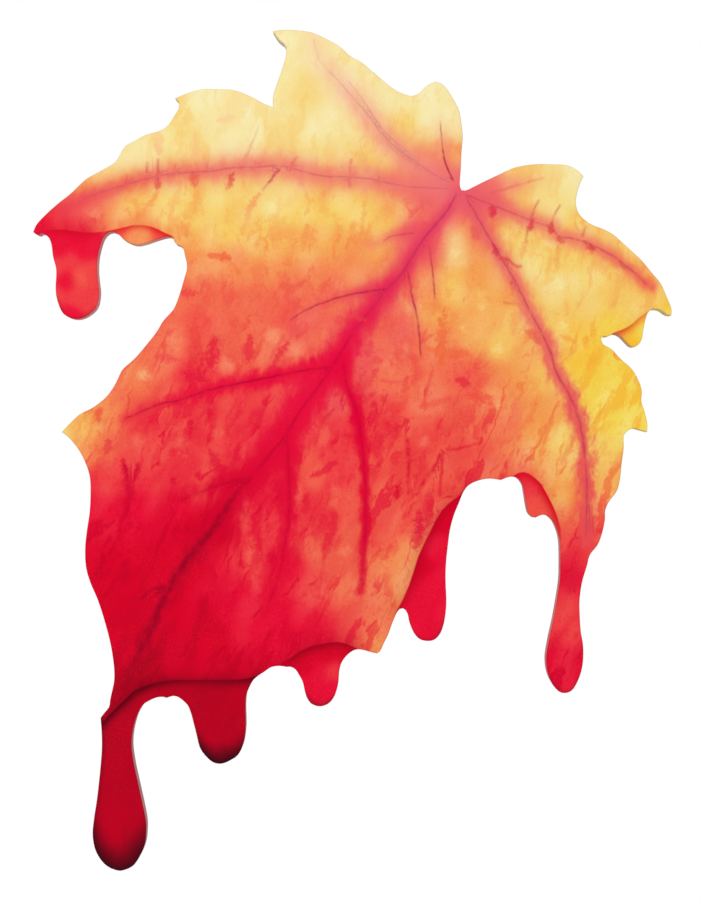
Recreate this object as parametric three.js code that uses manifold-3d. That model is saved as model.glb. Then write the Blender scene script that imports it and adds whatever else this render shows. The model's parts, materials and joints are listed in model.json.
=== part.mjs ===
// A painted wall panel: one flat board, sawn to the outline of a maple leaf whose lower edge runs down in
// drips, with two keyhole hangers let into its back.
// Millimetres, +Z up, painted face towards -Y. The origin lies on the back face, midway between the two
// points where the hangers rest on their wall screws.
import * as THREE from "three";
import { mergeVertices } from "three/addons/utils/BufferGeometryUtils.js";
import Module from "manifold-3d";

// Board
const boardThickness = 12;
const sawStep = 3.4; // spacing of the points along the sawn edge
const mergeDistance = 0.001;
const fit = 0.3; // gap left round each let-in piece

// Keyhole hangers, one to the left and one to the right of the origin
const hangerSpacing = 200;
const plateWidth = 18;
const plateLength = 50;
const plateThickness = 1.6;
const plateSink = 0.2; // depth of the plate's face below the board's back
const keyEntryRadius = 5;
const keySlotRadius = 2.4;
const keyDrop = 10; // from the slot's top centre, where the wall screw rests, down to the entry's centre
const headPocketWidth = 13;
const headPocketDepth = 8;
const headPocketMargin = 3; // room above the slot's top and below the entry's centre

// Wood screws that hold the hangers
const screwSpacing = 38;
const screwLength = 10;
const screwHeadRadius = 3.6;
const screwHeadHeight = 1.9;
const screwShankRadius = 1.6;
const screwPointLength = 3;
const driveLength = 3.8;
const driveWidth = 0.8;
const driveDepth = 1.1;

const roundSegments = 24;
const smallSegments = 16;

// The sawn edge, anticlockwise from the tip of the top lobe, as runs of [x, z]. Each run is one smooth
// curve through its points, and neighbouring runs meet at a sharp tip or notch.
const edgeRuns = [
  // left side of the top lobe, down to the notch
  [
    [-72, 219], [-66, 210], [-60, 205], [-59, 196], [-63, 181], [-68, 167], [-72, 154], [-72, 143],
  ],
  // shoulder between the notch and the small upper-left tip
  [
    [-72, 143], [-82, 147], [-95, 154], [-111, 160], [-129, 161], [-143, 161], [-155, 158], [-170, 152],
  ],
  // stepped upper edge of the left lobe, out to its tip
  [
    [-170, 152], [-166, 147], [-166, 143], [-171, 134], [-177, 125], [-184, 120], [-200, 115],
    [-211, 109], [-220, 104], [-225, 96], [-229, 89], [-245, 79], [-259, 71], [-274, 57], [-289, 45],
    [-300, 35], [-309, 25], [-312, 18],
  ],
  // lip under the left tip
  [
    [-312, 18], [-307, 15], [-303, 17], [-299, 15], [-296, 12],
  ],
  // left drip, then up into the hollow beside it
  [
    [-296, 12], [-294, 7], [-292, -7], [-289, -19], [-289.5, -39], [-288.4, -48], [-283, -62],
    [-277, -67], [-269.5, -69], [-263, -68], [-257, -65], [-251, -60], [-248, -55], [-246, -42],
    [-247, -32], [-248, -21], [-247.4, -7], [-244, 7], [-242, 12], [-238.5, 16.5], [-234, 18.5],
    [-230, 18], [-226.4, 16], [-223, 12], [-218, 8.5], [-209, 5.3], [-201.5, 6.3], [-193, 9],
    [-186, 11.4], [-175.4, 13.6], [-172, 12], [-171, 9], [-169, 6], [-165, 4.4],
  ],
  // leaf edge from the hollow down to the left point
  [
    [-165, 4.4], [-162, 2], [-160, -6], [-158.2, -13.5], [-158.2, -19], [-161, -29], [-165.4, -44],
    [-171.5, -59], [-182, -71], [-188, -81], [-198, -94], [-210, -108], [-223, -120], [-226, -126],
    [-231, -136], [-239, -147], [-253, -158], [-265, -164], [-274, -172], [-283.4, -182],
  ],
  // long left edge down to the root of the lowest drip
  [
    [-283.4, -182], [-276, -188], [-267, -199], [-260.5, -211], [-255.5, -226], [-254.6, -244],
    [-255.6, -263], [-258.3, -281], [-260, -299], [-259, -318], [-255, -332], [-247, -351],
    [-240, -373], [-234.4, -395], [-231.7, -412], [-230.8, -422], [-231, -431], [-233, -441],
    [-235, -450], [-236, -457], [-240, -462], [-244.5, -468],
  ],
  // lowest drip
  [
    [-244.5, -468], [-243.6, -480], [-243.2, -495], [-244, -510], [-248, -548], [-251, -568],
    [-252.5, -583], [-251.6, -593], [-249, -602], [-243.5, -611], [-237, -617], [-226, -621],
    [-220, -620], [-212, -616], [-208, -611], [-203, -602], [-200, -593], [-199, -583], [-199, -573],
    [-201.4, -559], [-208, -529], [-211, -515], [-213.5, -496], [-212.5, -482], [-209, -468],
    [-206.5, -462], [-201, -454], [-194.4, -450], [-188, -447.5], [-182, -447], [-178.5, -448],
  ],
  // second drip
  [
    [-178.5, -448], [-171, -446], [-165.5, -448], [-160, -452.5], [-157, -456], [-154.3, -462.7],
    [-151, -475], [-148, -487], [-145.5, -497], [-142, -503], [-137, -508.6], [-132, -512.5],
    [-126, -514], [-120, -513], [-114, -510], [-109, -507], [-105, -502], [-102, -495],
    [-100.4, -488], [-99.3, -476], [-99.6, -454], [-98.5, -444], [-96, -438], [-92.4, -431],
    [-88.5, -427], [-81, -422], [-74, -417.3], [-66, -416], [-58.5, -417],
  ],
  // third drip and the way up to the lower tip
  [
    [-58.5, -417], [-54, -417], [-49.5, -419.6], [-46, -425], [-42.3, -432], [-40.5, -440],
    [-38, -448], [-33.4, -454], [-25, -456.5], [-16.4, -453.6], [-11, -447], [-8, -439],
    [-6.6, -432], [-5.7, -421], [-4, -414], [-0.4, -408], [5, -402.7], [11, -399.6], [18, -400],
    [25, -402], [32, -403.6],
  ],
  // fourth drip, then the leaf edge up to the crown of the wide bay
  [
    [32, -403.6], [34.5, -402], [39, -393], [43, -385], [47, -374], [53, -361], [56.6, -358.3],
    [60, -359.5], [63, -365], [65, -374], [69, -383], [74.4, -389], [81, -391], [89, -390],
    [95, -384], [98.5, -375], [100.6, -363.5], [101.4, -352], [100.8, -335], [100.6, -323],
    [101.4, -309.5], [103, -295], [105, -280], [109, -265], [113.5, -254], [119, -241], [124, -235],
    [133, -230.7], [144, -228.6], [156, -230],
  ],
  // rolled nub beside the right drip
  [
    [156, -230], [163.8, -227], [168, -226.7], [171.5, -227.5], [175, -230.4], [178, -235.5],
    [179, -240.6], [180.4, -249.5], [182, -258.5], [183.6, -263.6], [187, -267], [189.3, -268],
    [193, -266.4], [196.4, -265], [200, -264.8], [204, -267], [208, -271], [211, -277],
  ],
  // right drip
  [
    [211, -277], [213.6, -284.6], [215, -293], [215.4, -310], [215, -329], [212.5, -347],
    [208, -372], [205, -385], [202.7, -397], [201.3, -406.5], [201.5, -416], [203.4, -425],
    [207, -433], [212, -440], [217, -443], [222, -443], [227, -440.6], [231, -435], [235, -426],
    [237.5, -416.5], [238.5, -405], [238, -393.5], [236, -382], [235, -368], [234.6, -353],
    [235.6, -342], [237.5, -331], [242, -316], [245, -305], [252.7, -295], [256.6, -285.4],
    [260, -270], [260.4, -260.5], [263.3, -253], [272, -241], [275, -230], [276.7, -214],
    [278.7, -199], [278.7, -185.6],
  ],
  // lower corner of the right lobe
  [
    [278.7, -185.6], [282.5, -181], [288, -178.5], [295, -180], [302.3, -182],
  ],
  // right edge up to the inner notch
  [
    [302.3, -182], [302.6, -174], [300, -162.5], [296.5, -151], [297, -141], [294, -131],
    [287, -119], [276, -109], [266, -98.5], [258, -94], [256.2, -87.8],
  ],
  // small rolled point and the lip under the right tip
  [
    [256.2, -87.8], [258.7, -86.5], [262.5, -86.5], [267, -84.6], [270, -83.8], [273.3, -84.8],
    [277, -87.3], [281.4, -92], [284.7, -95.4], [288, -97], [291.7, -96], [295, -93],
    [297.2, -88.4], [298.2, -82], [299.6, -73.7], [301, -68], [302.8, -63], [304.2, -61],
    [307, -59.4], [310.7, -59], [314, -59.4], [318, -61.5], [322.6, -64.8], [326.5, -65.3],
  ],
  // shoulder of the right lobe
  [
    [326.5, -65.3], [326.6, -58.5], [322, -47], [316, -33.6], [306.5, -22], [297, -10.5], [287, -1],
    [276, 9], [268, 16], [258.5, 21], [247, 25.5], [239, 31], [233.5, 37.5], [231, 47],
    [232.6, 58.6], [235.5, 67], [238.7, 74],
  ],
  // top of the right lobe, in to the base of the leaf
  [
    [238.7, 74], [231.6, 80.6], [222, 85], [208.6, 85.8], [189, 85.8], [170, 82.6], [155, 76],
    [138, 68], [128, 63], [121, 59.7], [116.6, 60],
  ],
  // right side of the top lobe
  [
    [116.6, 60], [115, 64], [115.8, 81], [116.6, 98.5], [117.8, 114], [116.6, 126], [114, 140],
    [109, 150], [103.7, 159], [97, 166.5], [90, 168.7],
  ],
  // long upper edge back to the tip
  [
    [90, 168.7], [81, 164], [74, 157], [66.7, 154.3], [57, 157], [48.6, 161.3], [36.5, 171],
    [26, 180], [16, 188.4], [5.5, 194], [-5, 203.5], [-22, 213], [-34, 218], [-50, 220],
    [-63, 220.4], [-72, 219],
  ],
];

const wasm = await Module();
wasm.setup();

function solidOf(geometry) {
  const bare = geometry.clone();
  bare.deleteAttribute("normal");
  bare.deleteAttribute("uv");
  const merged = mergeVertices(bare, mergeDistance);
  const vertProperties = merged.attributes.position.array;
  const triVerts = new Uint32Array(merged.index.array);
  return new wasm.Manifold(new wasm.Mesh({ numProp: 3, vertProperties, triVerts }));
}

function geometryOf(solid) {
  const { vertProperties, triVerts } = solid.getMesh();
  const geometry = new THREE.BufferGeometry();
  geometry.setAttribute("position", new THREE.BufferAttribute(new Float32Array(vertProperties), 3));
  geometry.setIndex(new THREE.BufferAttribute(new Uint32Array(triVerts), 1));
  geometry.computeVertexNormals();
  return geometry;
}

function material(color, roughness, metalness) {
  return new THREE.MeshStandardMaterial({ color, roughness, metalness });
}

function named(name, geometry, finish) {
  const mesh = new THREE.Mesh(geometry, finish);
  mesh.name = name;
  return mesh;
}

// A flat shape drawn in x and z, given its thickness from y = top down to y = top - depth.
function slab(shape, top, depth) {
  const options = { depth, bevelEnabled: false, curveSegments: smallSegments };
  const geometry = new THREE.ExtrudeGeometry(shape, options);
  geometry.rotateX(Math.PI / 2);
  geometry.translate(0, top, 0);
  return geometry;
}

// An upright slot with round ends: half-circles of the radii low and high round its two centres.
function upright(lowZ, lowRadius, highZ, highRadius) {
  const shape = new THREE.Shape();
  shape.absarc(0, highZ, highRadius, 0, Math.PI, false);
  shape.absarc(0, lowZ, lowRadius, Math.PI, 2 * Math.PI, false);
  shape.closePath();
  return shape;
}

function sawnOutline() {
  const points = [];
  for (const run of edgeRuns) {
    const curve = new THREE.CatmullRomCurve3(run.map(([x, z]) => new THREE.Vector3(x, z, 0)));
    const steps = Math.max(2, Math.round(curve.getLength() / sawStep));
    const spaced = curve.getSpacedPoints(steps);
    spaced.pop(); // the next run starts there
    points.push(...spaced.map((p) => new THREE.Vector2(p.x, p.y)));
  }
  return new THREE.Shape(points);
}

function screwBlank(extra) {
  const top = -plateSink;
  const neck = top - screwHeadHeight;
  const tip = top - screwLength;
  const profile = [
    new THREE.Vector2(0, tip - extra),
    new THREE.Vector2(screwShankRadius + extra, tip + screwPointLength),
    new THREE.Vector2(screwShankRadius + extra, neck),
    new THREE.Vector2(screwHeadRadius + extra, top - extra),
    new THREE.Vector2(screwHeadRadius + extra, extra > 0 ? fit : top),
    new THREE.Vector2(0, extra > 0 ? fit : top),
  ];
  return solidOf(new THREE.LatheGeometry(profile, roundSegments));
}

function screw() {
  let solid = screwBlank(0);
  for (const [width, height] of [[driveLength, driveWidth], [driveWidth, driveLength]]) {
    const slot = new THREE.BoxGeometry(width, 2 * driveDepth, height);
    slot.translate(0, -plateSink, 0);
    solid = solid.subtract(solidOf(slot));
  }
  return solid;
}

const plateCentre = -keyDrop / 2;
const plateReach = (plateLength - plateWidth) / 2;
const screwPlaces = [plateCentre + screwSpacing / 2, plateCentre - screwSpacing / 2];

function plateOutline(extra) {
  const radius = plateWidth / 2 + extra;
  return upright(plateCentre - plateReach, radius, plateCentre + plateReach, radius);
}

// The round entry with the narrow slot that rises from it.
function keyhole() {
  const lean = Math.asin(keySlotRadius / keyEntryRadius);
  const shape = new THREE.Path();
  shape.absarc(0, 0, keySlotRadius, 0, Math.PI, false);
  shape.absarc(0, -keyDrop, keyEntryRadius, Math.PI / 2 + lean, 2.5 * Math.PI - lean, false);
  shape.closePath();
  return shape;
}

function hangerPlate() {
  const outline = plateOutline(0);
  outline.holes.push(keyhole());
  let solid = solidOf(slab(outline, -plateSink, plateThickness));
  for (const z of screwPlaces) {
    solid = solid.subtract(screwBlank(fit).translate([0, 0, z]));
  }
  return solid;
}

// What the router and drill take out of the board's back at one hanger.
function hangerRecess() {
  const pocketDepth = plateSink + plateThickness + fit;
  const half = headPocketWidth / 2;
  const lowest = -keyDrop - headPocketMargin + half / 2;
  const headPocket = upright(lowest, half, headPocketMargin - half / 2, half);
  let solid = solidOf(slab(plateOutline(fit), 1, pocketDepth + 1));
  solid = solid.add(solidOf(slab(headPocket, 1, headPocketDepth + 1)));
  for (const z of screwPlaces) {
    solid = solid.add(screwBlank(fit).translate([0, 0, z]));
  }
  return solid;
}

const group = new THREE.Group();
const sides = [["left", -hangerSpacing / 2], ["right", hangerSpacing / 2]];

let board = solidOf(slab(sawnOutline(), 0, boardThickness));
for (const [, x] of sides) {
  board = board.subtract(hangerRecess().translate([x, 0, 0]));
}
group.add(named("board", geometryOf(board), material(0xe0603c, 0.55, 0)));

for (const [side, x] of sides) {
  const hanger = new THREE.Group();
  hanger.position.x = x;
  hanger.add(named(`${side}_hanger_plate`, geometryOf(hangerPlate()), material(0xb9bcc0, 0.35, 1)));
  screwPlaces.forEach((z, i) => {
    const name = `${side}_${i === 0 ? "upper" : "lower"}_screw`;
    const mesh = named(name, geometryOf(screw()), material(0xc9ab5c, 0.35, 1));
    mesh.position.z = z;
    hanger.add(mesh);
  });
  group.add(hanger);
}

export default group;
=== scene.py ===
import json
import math
import bpy
import bmesh
import numpy as np
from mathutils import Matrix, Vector


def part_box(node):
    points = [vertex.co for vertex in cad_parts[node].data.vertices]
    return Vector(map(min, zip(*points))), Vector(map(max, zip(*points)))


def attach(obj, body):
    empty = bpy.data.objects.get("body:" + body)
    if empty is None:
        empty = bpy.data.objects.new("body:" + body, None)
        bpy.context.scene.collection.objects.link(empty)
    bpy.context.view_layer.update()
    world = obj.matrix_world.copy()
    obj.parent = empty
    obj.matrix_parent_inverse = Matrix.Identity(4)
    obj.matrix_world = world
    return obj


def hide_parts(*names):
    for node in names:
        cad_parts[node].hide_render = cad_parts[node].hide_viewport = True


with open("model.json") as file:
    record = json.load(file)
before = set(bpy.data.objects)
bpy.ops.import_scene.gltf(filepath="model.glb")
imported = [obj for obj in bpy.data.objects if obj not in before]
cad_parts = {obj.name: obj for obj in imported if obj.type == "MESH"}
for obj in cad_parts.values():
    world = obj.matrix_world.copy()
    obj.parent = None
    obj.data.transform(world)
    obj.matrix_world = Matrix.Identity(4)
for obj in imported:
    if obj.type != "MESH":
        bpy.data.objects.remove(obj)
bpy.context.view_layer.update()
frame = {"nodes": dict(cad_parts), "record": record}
boardLow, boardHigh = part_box("board")
mm = 0.001
print("frame loaded, board", [round(v / mm) for v in boardHigh - boardLow], "mm")

# Camera and light.
camera = {"place": (0.0055, -1.312, -0.200), "lens": 52.0, "sensor": 36.0, "near": 0.01, "far": 50.0}
studio = {
    "keyPlace": (-0.75, -2.3, 1.7), "keySize": 2.2, "keyPower": 26.0,
    "fillPlace": (1.6, 1.9, 0.9), "fillSize": 1.8, "fillPower": 9.0,
    "aim": (0.0, 0.0, -0.2),
    "ambient": 0.815, "glossAmbient": 0.5, "backdrop": 1.0,
    "floorRadius": 1.5, "floorSides": 96, "floorDrop": 0.72, "floorColour": (0.86, 0.86, 0.85),
    "floorPatch": 0.96, "floorRough": 0.8, "floorGloss": 0.2,
}


def placeCamera():
    lens = bpy.data.cameras.new("camera")
    lens.lens = camera["lens"]
    lens.sensor_width = camera["sensor"]
    lens.clip_start = camera["near"]
    lens.clip_end = camera["far"]
    holder = bpy.data.objects.new("camera", lens)
    holder.location = camera["place"]
    holder.rotation_euler = (math.pi / 2, 0.0, 0.0)
    bpy.context.scene.collection.objects.link(holder)
    bpy.context.scene.camera = holder


def softLight(name):
    place = studio[name + "Place"]
    lamp = bpy.data.lights.new(name, "AREA")
    lamp.shape = "DISK"
    lamp.size = studio[name + "Size"]
    lamp.energy = studio[name + "Power"]
    holder = bpy.data.objects.new(name, lamp)
    holder.location = place
    sight = Vector(studio["aim"]) - Vector(place)
    holder.rotation_euler = sight.to_track_quat("-Z", "Y").to_euler()
    bpy.context.scene.collection.objects.link(holder)


# Small node helpers.
def setInput(tree, socket, value):
    if value is None:
        return
    if isinstance(value, bpy.types.NodeSocket):
        tree.links.new(value, socket)
    else:
        socket.default_value = value


def setInputs(tree, node, values):
    for name, value in values.items():
        setInput(tree, node.inputs[name], value)


def calc(tree, operation, a, b=None, c=None, clamp=False):
    node = tree.nodes.new("ShaderNodeMath")
    node.operation = operation
    node.use_clamp = clamp
    for socket, value in zip(node.inputs, (a, b, c)):
        setInput(tree, socket, value)
    return node.outputs[0]


def times(tree, first, *others):
    for other in others:
        first = calc(tree, "MULTIPLY", first, other)
    return first


def largest(tree, first, *others):
    for other in others:
        first = calc(tree, "MAXIMUM", first, other)
    return first


def plus(tree, a, b):
    return calc(tree, "ADD", a, b)


def minus(tree, a, b):
    return calc(tree, "SUBTRACT", a, b)


def bell(tree, distance, steepness):
    # one in the middle of a stroke, falling off softly to both sides
    return calc(tree, "EXPONENT", times(tree, distance, distance, -steepness))


def vectorCalc(tree, operation, a, b=None, scale=None):
    node = tree.nodes.new("ShaderNodeVectorMath")
    node.operation = operation
    setInput(tree, node.inputs[0], a)
    setInput(tree, node.inputs[1], b)
    if scale is not None:
        setInput(tree, node.inputs[3], scale)
    return node.outputs[0]


def stretched(tree, place, name):
    # draws a pattern out in height
    return vectorCalc(tree, "MULTIPLY", place, (1.0, 1.0, flows[name]))


def mixNumber(tree, factor, a, b):
    node = tree.nodes.new("ShaderNodeMix")
    setInput(tree, node.inputs[0], factor)
    setInput(tree, node.inputs[2], a)
    setInput(tree, node.inputs[3], b)
    return node.outputs[0]


def blend(tree, factor, a, b, kind="MIX"):
    node = tree.nodes.new("ShaderNodeMix")
    node.data_type = "RGBA"
    node.blend_type = kind
    setInput(tree, node.inputs[0], factor)
    setInput(tree, node.inputs[6], a)
    setInput(tree, node.inputs[7], b)
    return node.outputs[2]


def ramp(tree, value, low, high, toLow=0.0, toHigh=1.0, kind="SMOOTHSTEP"):
    node = tree.nodes.new("ShaderNodeMapRange")
    node.interpolation_type = kind
    setInputs(tree, node, {
        "Value": value, "From Min": low, "From Max": high, "To Min": toLow, "To Max": toHigh})
    return node.outputs[0]


def cloud(tree, place, name, colour=False):
    size, detail, roughness, distortion = clouds[name]
    node = tree.nodes.new("ShaderNodeTexNoise")
    setInputs(tree, node, {
        "Vector": place, "Scale": 1.0 / size, "Detail": detail, "Roughness": roughness,
        "Distortion": distortion})
    return node.outputs["Color" if colour else "Fac"]


def centred(tree, place, name):
    return minus(tree, cloud(tree, place, name), 0.5)


def cells(tree, place, size, softness):
    node = tree.nodes.new("ShaderNodeTexVoronoi")
    node.feature = "SMOOTH_F1"
    setInputs(tree, node, {"Vector": place, "Scale": 1.0 / size, "Smoothness": softness})
    return node.outputs["Distance"]


def painted(tree, name, output="Color"):
    node = tree.nodes.new("ShaderNodeAttribute")
    node.attribute_name = name
    return node.outputs[output]


def measured(tree, name):
    return painted(tree, name, "Fac")


def axisOf(tree, place, axis):
    node = tree.nodes.new("ShaderNodeSeparateXYZ")
    setInput(tree, node.inputs[0], place)
    return node.outputs[axis]


def addBump(tree, shader, height, strength, depth):
    bump = tree.nodes.new("ShaderNodeBump")
    setInputs(tree, bump, {"Height": height, "Strength": strength, "Distance": depth * mm})
    setInput(tree, shader.inputs["Normal"], bump.outputs["Normal"])


def useGroup(tree, group, **values):
    node = tree.nodes.new("ShaderNodeGroup")
    node.node_tree = group
    setInputs(tree, node, values)
    return node.outputs


def newGroup(name, inputs, outputs):
    group = bpy.data.node_groups.new(name, "ShaderNodeTree")
    kinds = {"vector": "NodeSocketVector", "number": "NodeSocketFloat"}
    for label, kind, value in inputs:
        socket = group.interface.new_socket(label, in_out="INPUT", socket_type=kinds[kind])
        if value is not None:
            socket.default_value = value
    for label, kind in outputs:
        group.interface.new_socket(label, in_out="OUTPUT", socket_type=kinds[kind])
    entry = group.nodes.new("NodeGroupInput")
    leave = group.nodes.new("NodeGroupOutput")
    return group, entry.outputs, leave


def newMaterial(name):
    material = bpy.data.materials.new(name)
    material.use_nodes = True
    tree = material.node_tree
    shader = tree.nodes["Principled BSDF"]
    return material, tree, shader


def linearPaint(colour):
    share = np.asarray(colour, float) / 255.0
    return np.where(share <= 0.04045, share / 12.92, ((share + 0.055) / 1.055) ** 2.4)


def paintValue(colour):
    return (*linearPaint(colour), 1.0)


# Each paint is a pale, a middle and a deep mix, the last for stains and blots. All are 0 to 255.
paints = {
    "cream": ((247, 238, 194), (243, 230, 169), (244, 212, 134)),
    "lemon": ((246, 232, 168), (243, 218, 136), (243, 196, 106)),
    "gold": ((247, 226, 148), (244, 206, 101), (241, 162, 80)),
    "amber": ((246, 204, 124), (243, 171, 86), (240, 120, 64)),
    "peach": ((246, 176, 118), (243, 146, 86), (238, 90, 62)),
    "coral": ((245, 142, 104), (242, 112, 79), (232, 56, 60)),
    "brick": ((244, 118, 90), (241, 84, 69), (228, 30, 56)),
    "rose": ((245, 134, 114), (240, 100, 90), (226, 46, 72)),
    "red": ((243, 94, 80), (238, 60, 66), (226, 6, 52)),
    "crimson": ((238, 48, 70), (233, 10, 52), (214, 0, 44)),
    "ruby": ((224, 4, 45), (219, 0, 39), (200, 0, 36)),
    "garnet": ((204, 0, 36), (188, 0, 32), (160, 0, 28)),
    "sun": ((248, 230, 130), (243, 214, 80), (244, 186, 56)),
    "marigold": ((250, 216, 100), (246, 194, 52), (242, 142, 40)),
}

# Where each paint sits on the face, in mm from the origin as seen from the front.
facePlaces = {
    "cream": [
        (-66, 213), (-30, 198), (-62, 182), (22, 152), (54, 148), (92, 156), (102, 124), (80, 124),
        (-18, 122), (-8, 175), (-104, 142), (-142, 151), (-128, 118), (-100, 108), (-202, 96), (-224, 96),
        (228, 80), (-62, 140)],
    "lemon": [
        (-58, 122), (-166, 143), (-182, 112), (-150, 100), (-62, 100), (-132, 52), (-62, 66), (-30, 100),
        (-284, -182), (-44, 156), (-52, 158), (218, 56), (202, 72), (238, -44), (-176, 56), (-76, 44),
        (190, -4), (24, 108), (112, 4), (212, -38), (-250, 74)],
    "gold": [
        (30, 88), (-216, 42), (-180, 46), (-150, 60), (-110, 44), (-140, 30), (-12, 40), (-20, 62),
        (24, 46), (-80, 22), (-110, 22), (-268, -174), (110, -38), (242, 22), (164, 16), (198, 14),
        (172, 68), (-214, 62), (206, -10), (250, -24), (280, -46), (310, -50), (232, -52), (274, 2),
        (212, -190), (262, -196), (250, -208), (60, 124), (182, -62), (218, -90), (158, -94), (198, -128),
        (40, 22), (-50, 40), (262, -40)],
    "amber": [
        (-236, 40), (-150, 8), (-80, 4), (-40, 8), (-12, 6), (28, 2), (126, -84), (142, -70), (188, -178),
        (172, -128), (194, -206), (226, -230), (270, -224), (48, 46), (298, -30), (-252, -178), (140, -26),
        (30, -396), (42, -402), (94, -64), (-256, 62), (106, 92), (202, -160), (84, 92), (180, -96),
        (126, -42), (160, -46)],
    "peach": [
        (-150, -14), (-112, -14), (-76, -24), (-30, -24), (10, -22), (96, -88), (80, -40), (-226, 28),
        (-206, 27), (48, -330), (60, -346), (54, -304), (158, -162), (246, -268), (-238, -158),
        (172, -196), (86, 74), (-272, 54), (62, 66), (140, 32), (128, 12), (-248, -196), (150, -140),
        (-208, -132)],
    "coral": [
        (-156, -46), (-126, -48), (-94, -58), (-74, -50), (-40, -46), (-12, -40), (-172, -84),
        (-186, -116), (80, -140), (112, -156), (-112, -90), (42, -384), (-74, -86), (-30, -92), (42, -120),
        (140, -176), (108, -112), (-232, -190), (-254, 30), (34, -338), (178, -222), (70, -100), (40, -84),
        (152, -214), (22, -366), (-220, -150), (120, -172), (160, -174), (0, -334), (-28, -298), (4, -294)],
    "brick": [
        (-146, -76), (-40, -214), (48, -178), (50, -230), (72, -262), (100, -190), (130, -200),
        (104, -226), (6, -372), (124, -132), (40, -286), (24, -210), (80, -226), (0, -260), (-178, -150),
        (20, -396), (-60, -60)],
    "rose": [
        (-262, 40), (80, 48), (108, 62), (142, 54), (104, 44), (-44, -72), (54, -86), (66, 12), (20, -110),
        (-246, 44), (124, 56), (-4, -150), (86, 8)],
    "red": [
        (-286, 42), (244, -288), (-126, -214), (-282, 30), (-140, -196), (-110, -178), (-216, -212),
        (-182, -214), (-150, -226), (-116, -150), (-28, -178), (-34, -270), (-36, -334), (-85, -270),
        (-98, -312), (0, -220), (-2, -386), (240, -312), (-150, -160), (-180, -190), (226, -352),
        (12, -190), (30, -170), (220, -386), (0, -174), (0, -206), (-60, -150), (-200, -172), (-160, -130),
        (-236, -230), (-198, -230)],
    "crimson": [
        (-300, 24), (-245, -262), (-214, -268), (-176, -262), (-242, -276), (-202, -276), (-200, -252),
        (-66, -364), (-32, -384), (-128, -330), (-96, -372), (-60, -398), (-92, -404), (-262, 22),
        (230, -330), (222, -404), (220, -424), (-70, -200), (-56, -320), (-16, -394), (-112, -350),
        (-82, -246)],
    "ruby": [
        (-240, -296), (-198, -300), (-232, -330), (-198, -380), (-148, -362), (-190, -330), (-232, -370),
        (-152, -322), (-132, -396), (-172, -404), (-108, -414), (-130, -280), (-214, -404), (-160, -284),
        (-90, -420)],
    "garnet": [(-224, -436), (-206, -428), (-200, -412)],
    "sun": [
        (322, -60), (262, -80), (262, -100), (280, -110), (250, -122), (280, -134), (296, -172),
        (267, -177), (248, -146), (286, -150)],
    "marigold": [(236, -92), (242, -108)],
}

# The same for what lies below or behind each fold: drips, curls and rolled edges.
underPlaces = {
    "garnet": [
        (-226, -470), (-172, -440), (-238, -462), (-212, -446), (-92, -436), (-130, -440), (-120, -494),
        (-238, -560), (-236, -580), (-124, -478), (-130, -462), (-214, -580), (-236, -528), (-222, -496),
        (-220, -520), (-214, -548), (-226, -600), (-108, -470), (-110, -488), (-106, -452), (-140, -478)],
    "ruby": [(-38, -414), (4, -402), (98, -268), (78, -318), (218, -236), (-20, -404)],
    "crimson": [
        (-22, -440), (-34, -440), (-14, -436), (-24, -422), (90, -330), (80, -376), (70, -372), (86, -352),
        (96, -340), (-292, 12), (-272, 12), (-254, 6), (-288, 2), (-262, -2), (-276, -68), (-292, -62),
        (-278, -30), (94, -300), (84, -384), (172, -228)],
    "red": [
        (-272, -12), (-288, -18), (-254, -22), (-266, -46), (-252, -50), (-290, -46), (180, -232),
        (-14, -424), (196, -238)],
    "brick": [(196, -252), (190, -262), (206, -262), (-226, 18), (-182, 17), (-266, -27)],
    "peach": [(-206, 14), (-214, 10), (272, -84)],
    "marigold": [(300, -66), (284, -84), (290, -94)],
    "sun": [(296, -80)],
}

# Dark shade sprayed along the lower rims of the drips: path, half width and strength along it.
dripShades = [
    ([(-254, -556), (-255, -585), (-251, -606), (-238, -622), (-225, -626), (-208, -620), (-197, -604),
      (-192, -580), (-195, -560)], (4, 10, 18, 27, 31, 32, 27, 17, 6),
     (0.5, 0.9, 1.0, 1.0, 1.0, 1.0, 1.0, 0.75, 0.2)),
    ([(-150, -482), (-147, -498), (-138, -511), (-126, -517), (-113, -513), (-103, -503), (-98, -486)],
     (5, 11, 18, 24, 22, 15, 6), (0.4, 1.0, 1.0, 1.0, 1.0, 0.9, 0.4)),
    ([(-245, -470), (-244, -500), (-247, -540), (-251, -568)], (3, 4, 4, 4), (0.8, 0.5, 0.4, 0.4)),
    ([(-40, -442), (-33, -454), (-22, -457), (-11, -448)], (2, 5, 5, 3), (0.3, 0.5, 0.5, 0.3)),
    ([(-289, -46), (-281, -66), (-266, -70), (-250, -58)], (2, 3, 3, 2), (0.2, 0.35, 0.35, 0.2)),
    ([(66, -380), (78, -391), (92, -388), (99, -372)], (2, 3, 3, 2), (0.2, 0.3, 0.3, 0.2)),
    ([(203, -424), (212, -440), (226, -441), (236, -424)], (2, 3, 3, 2), (0.15, 0.25, 0.3, 0.2)),
]

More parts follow.
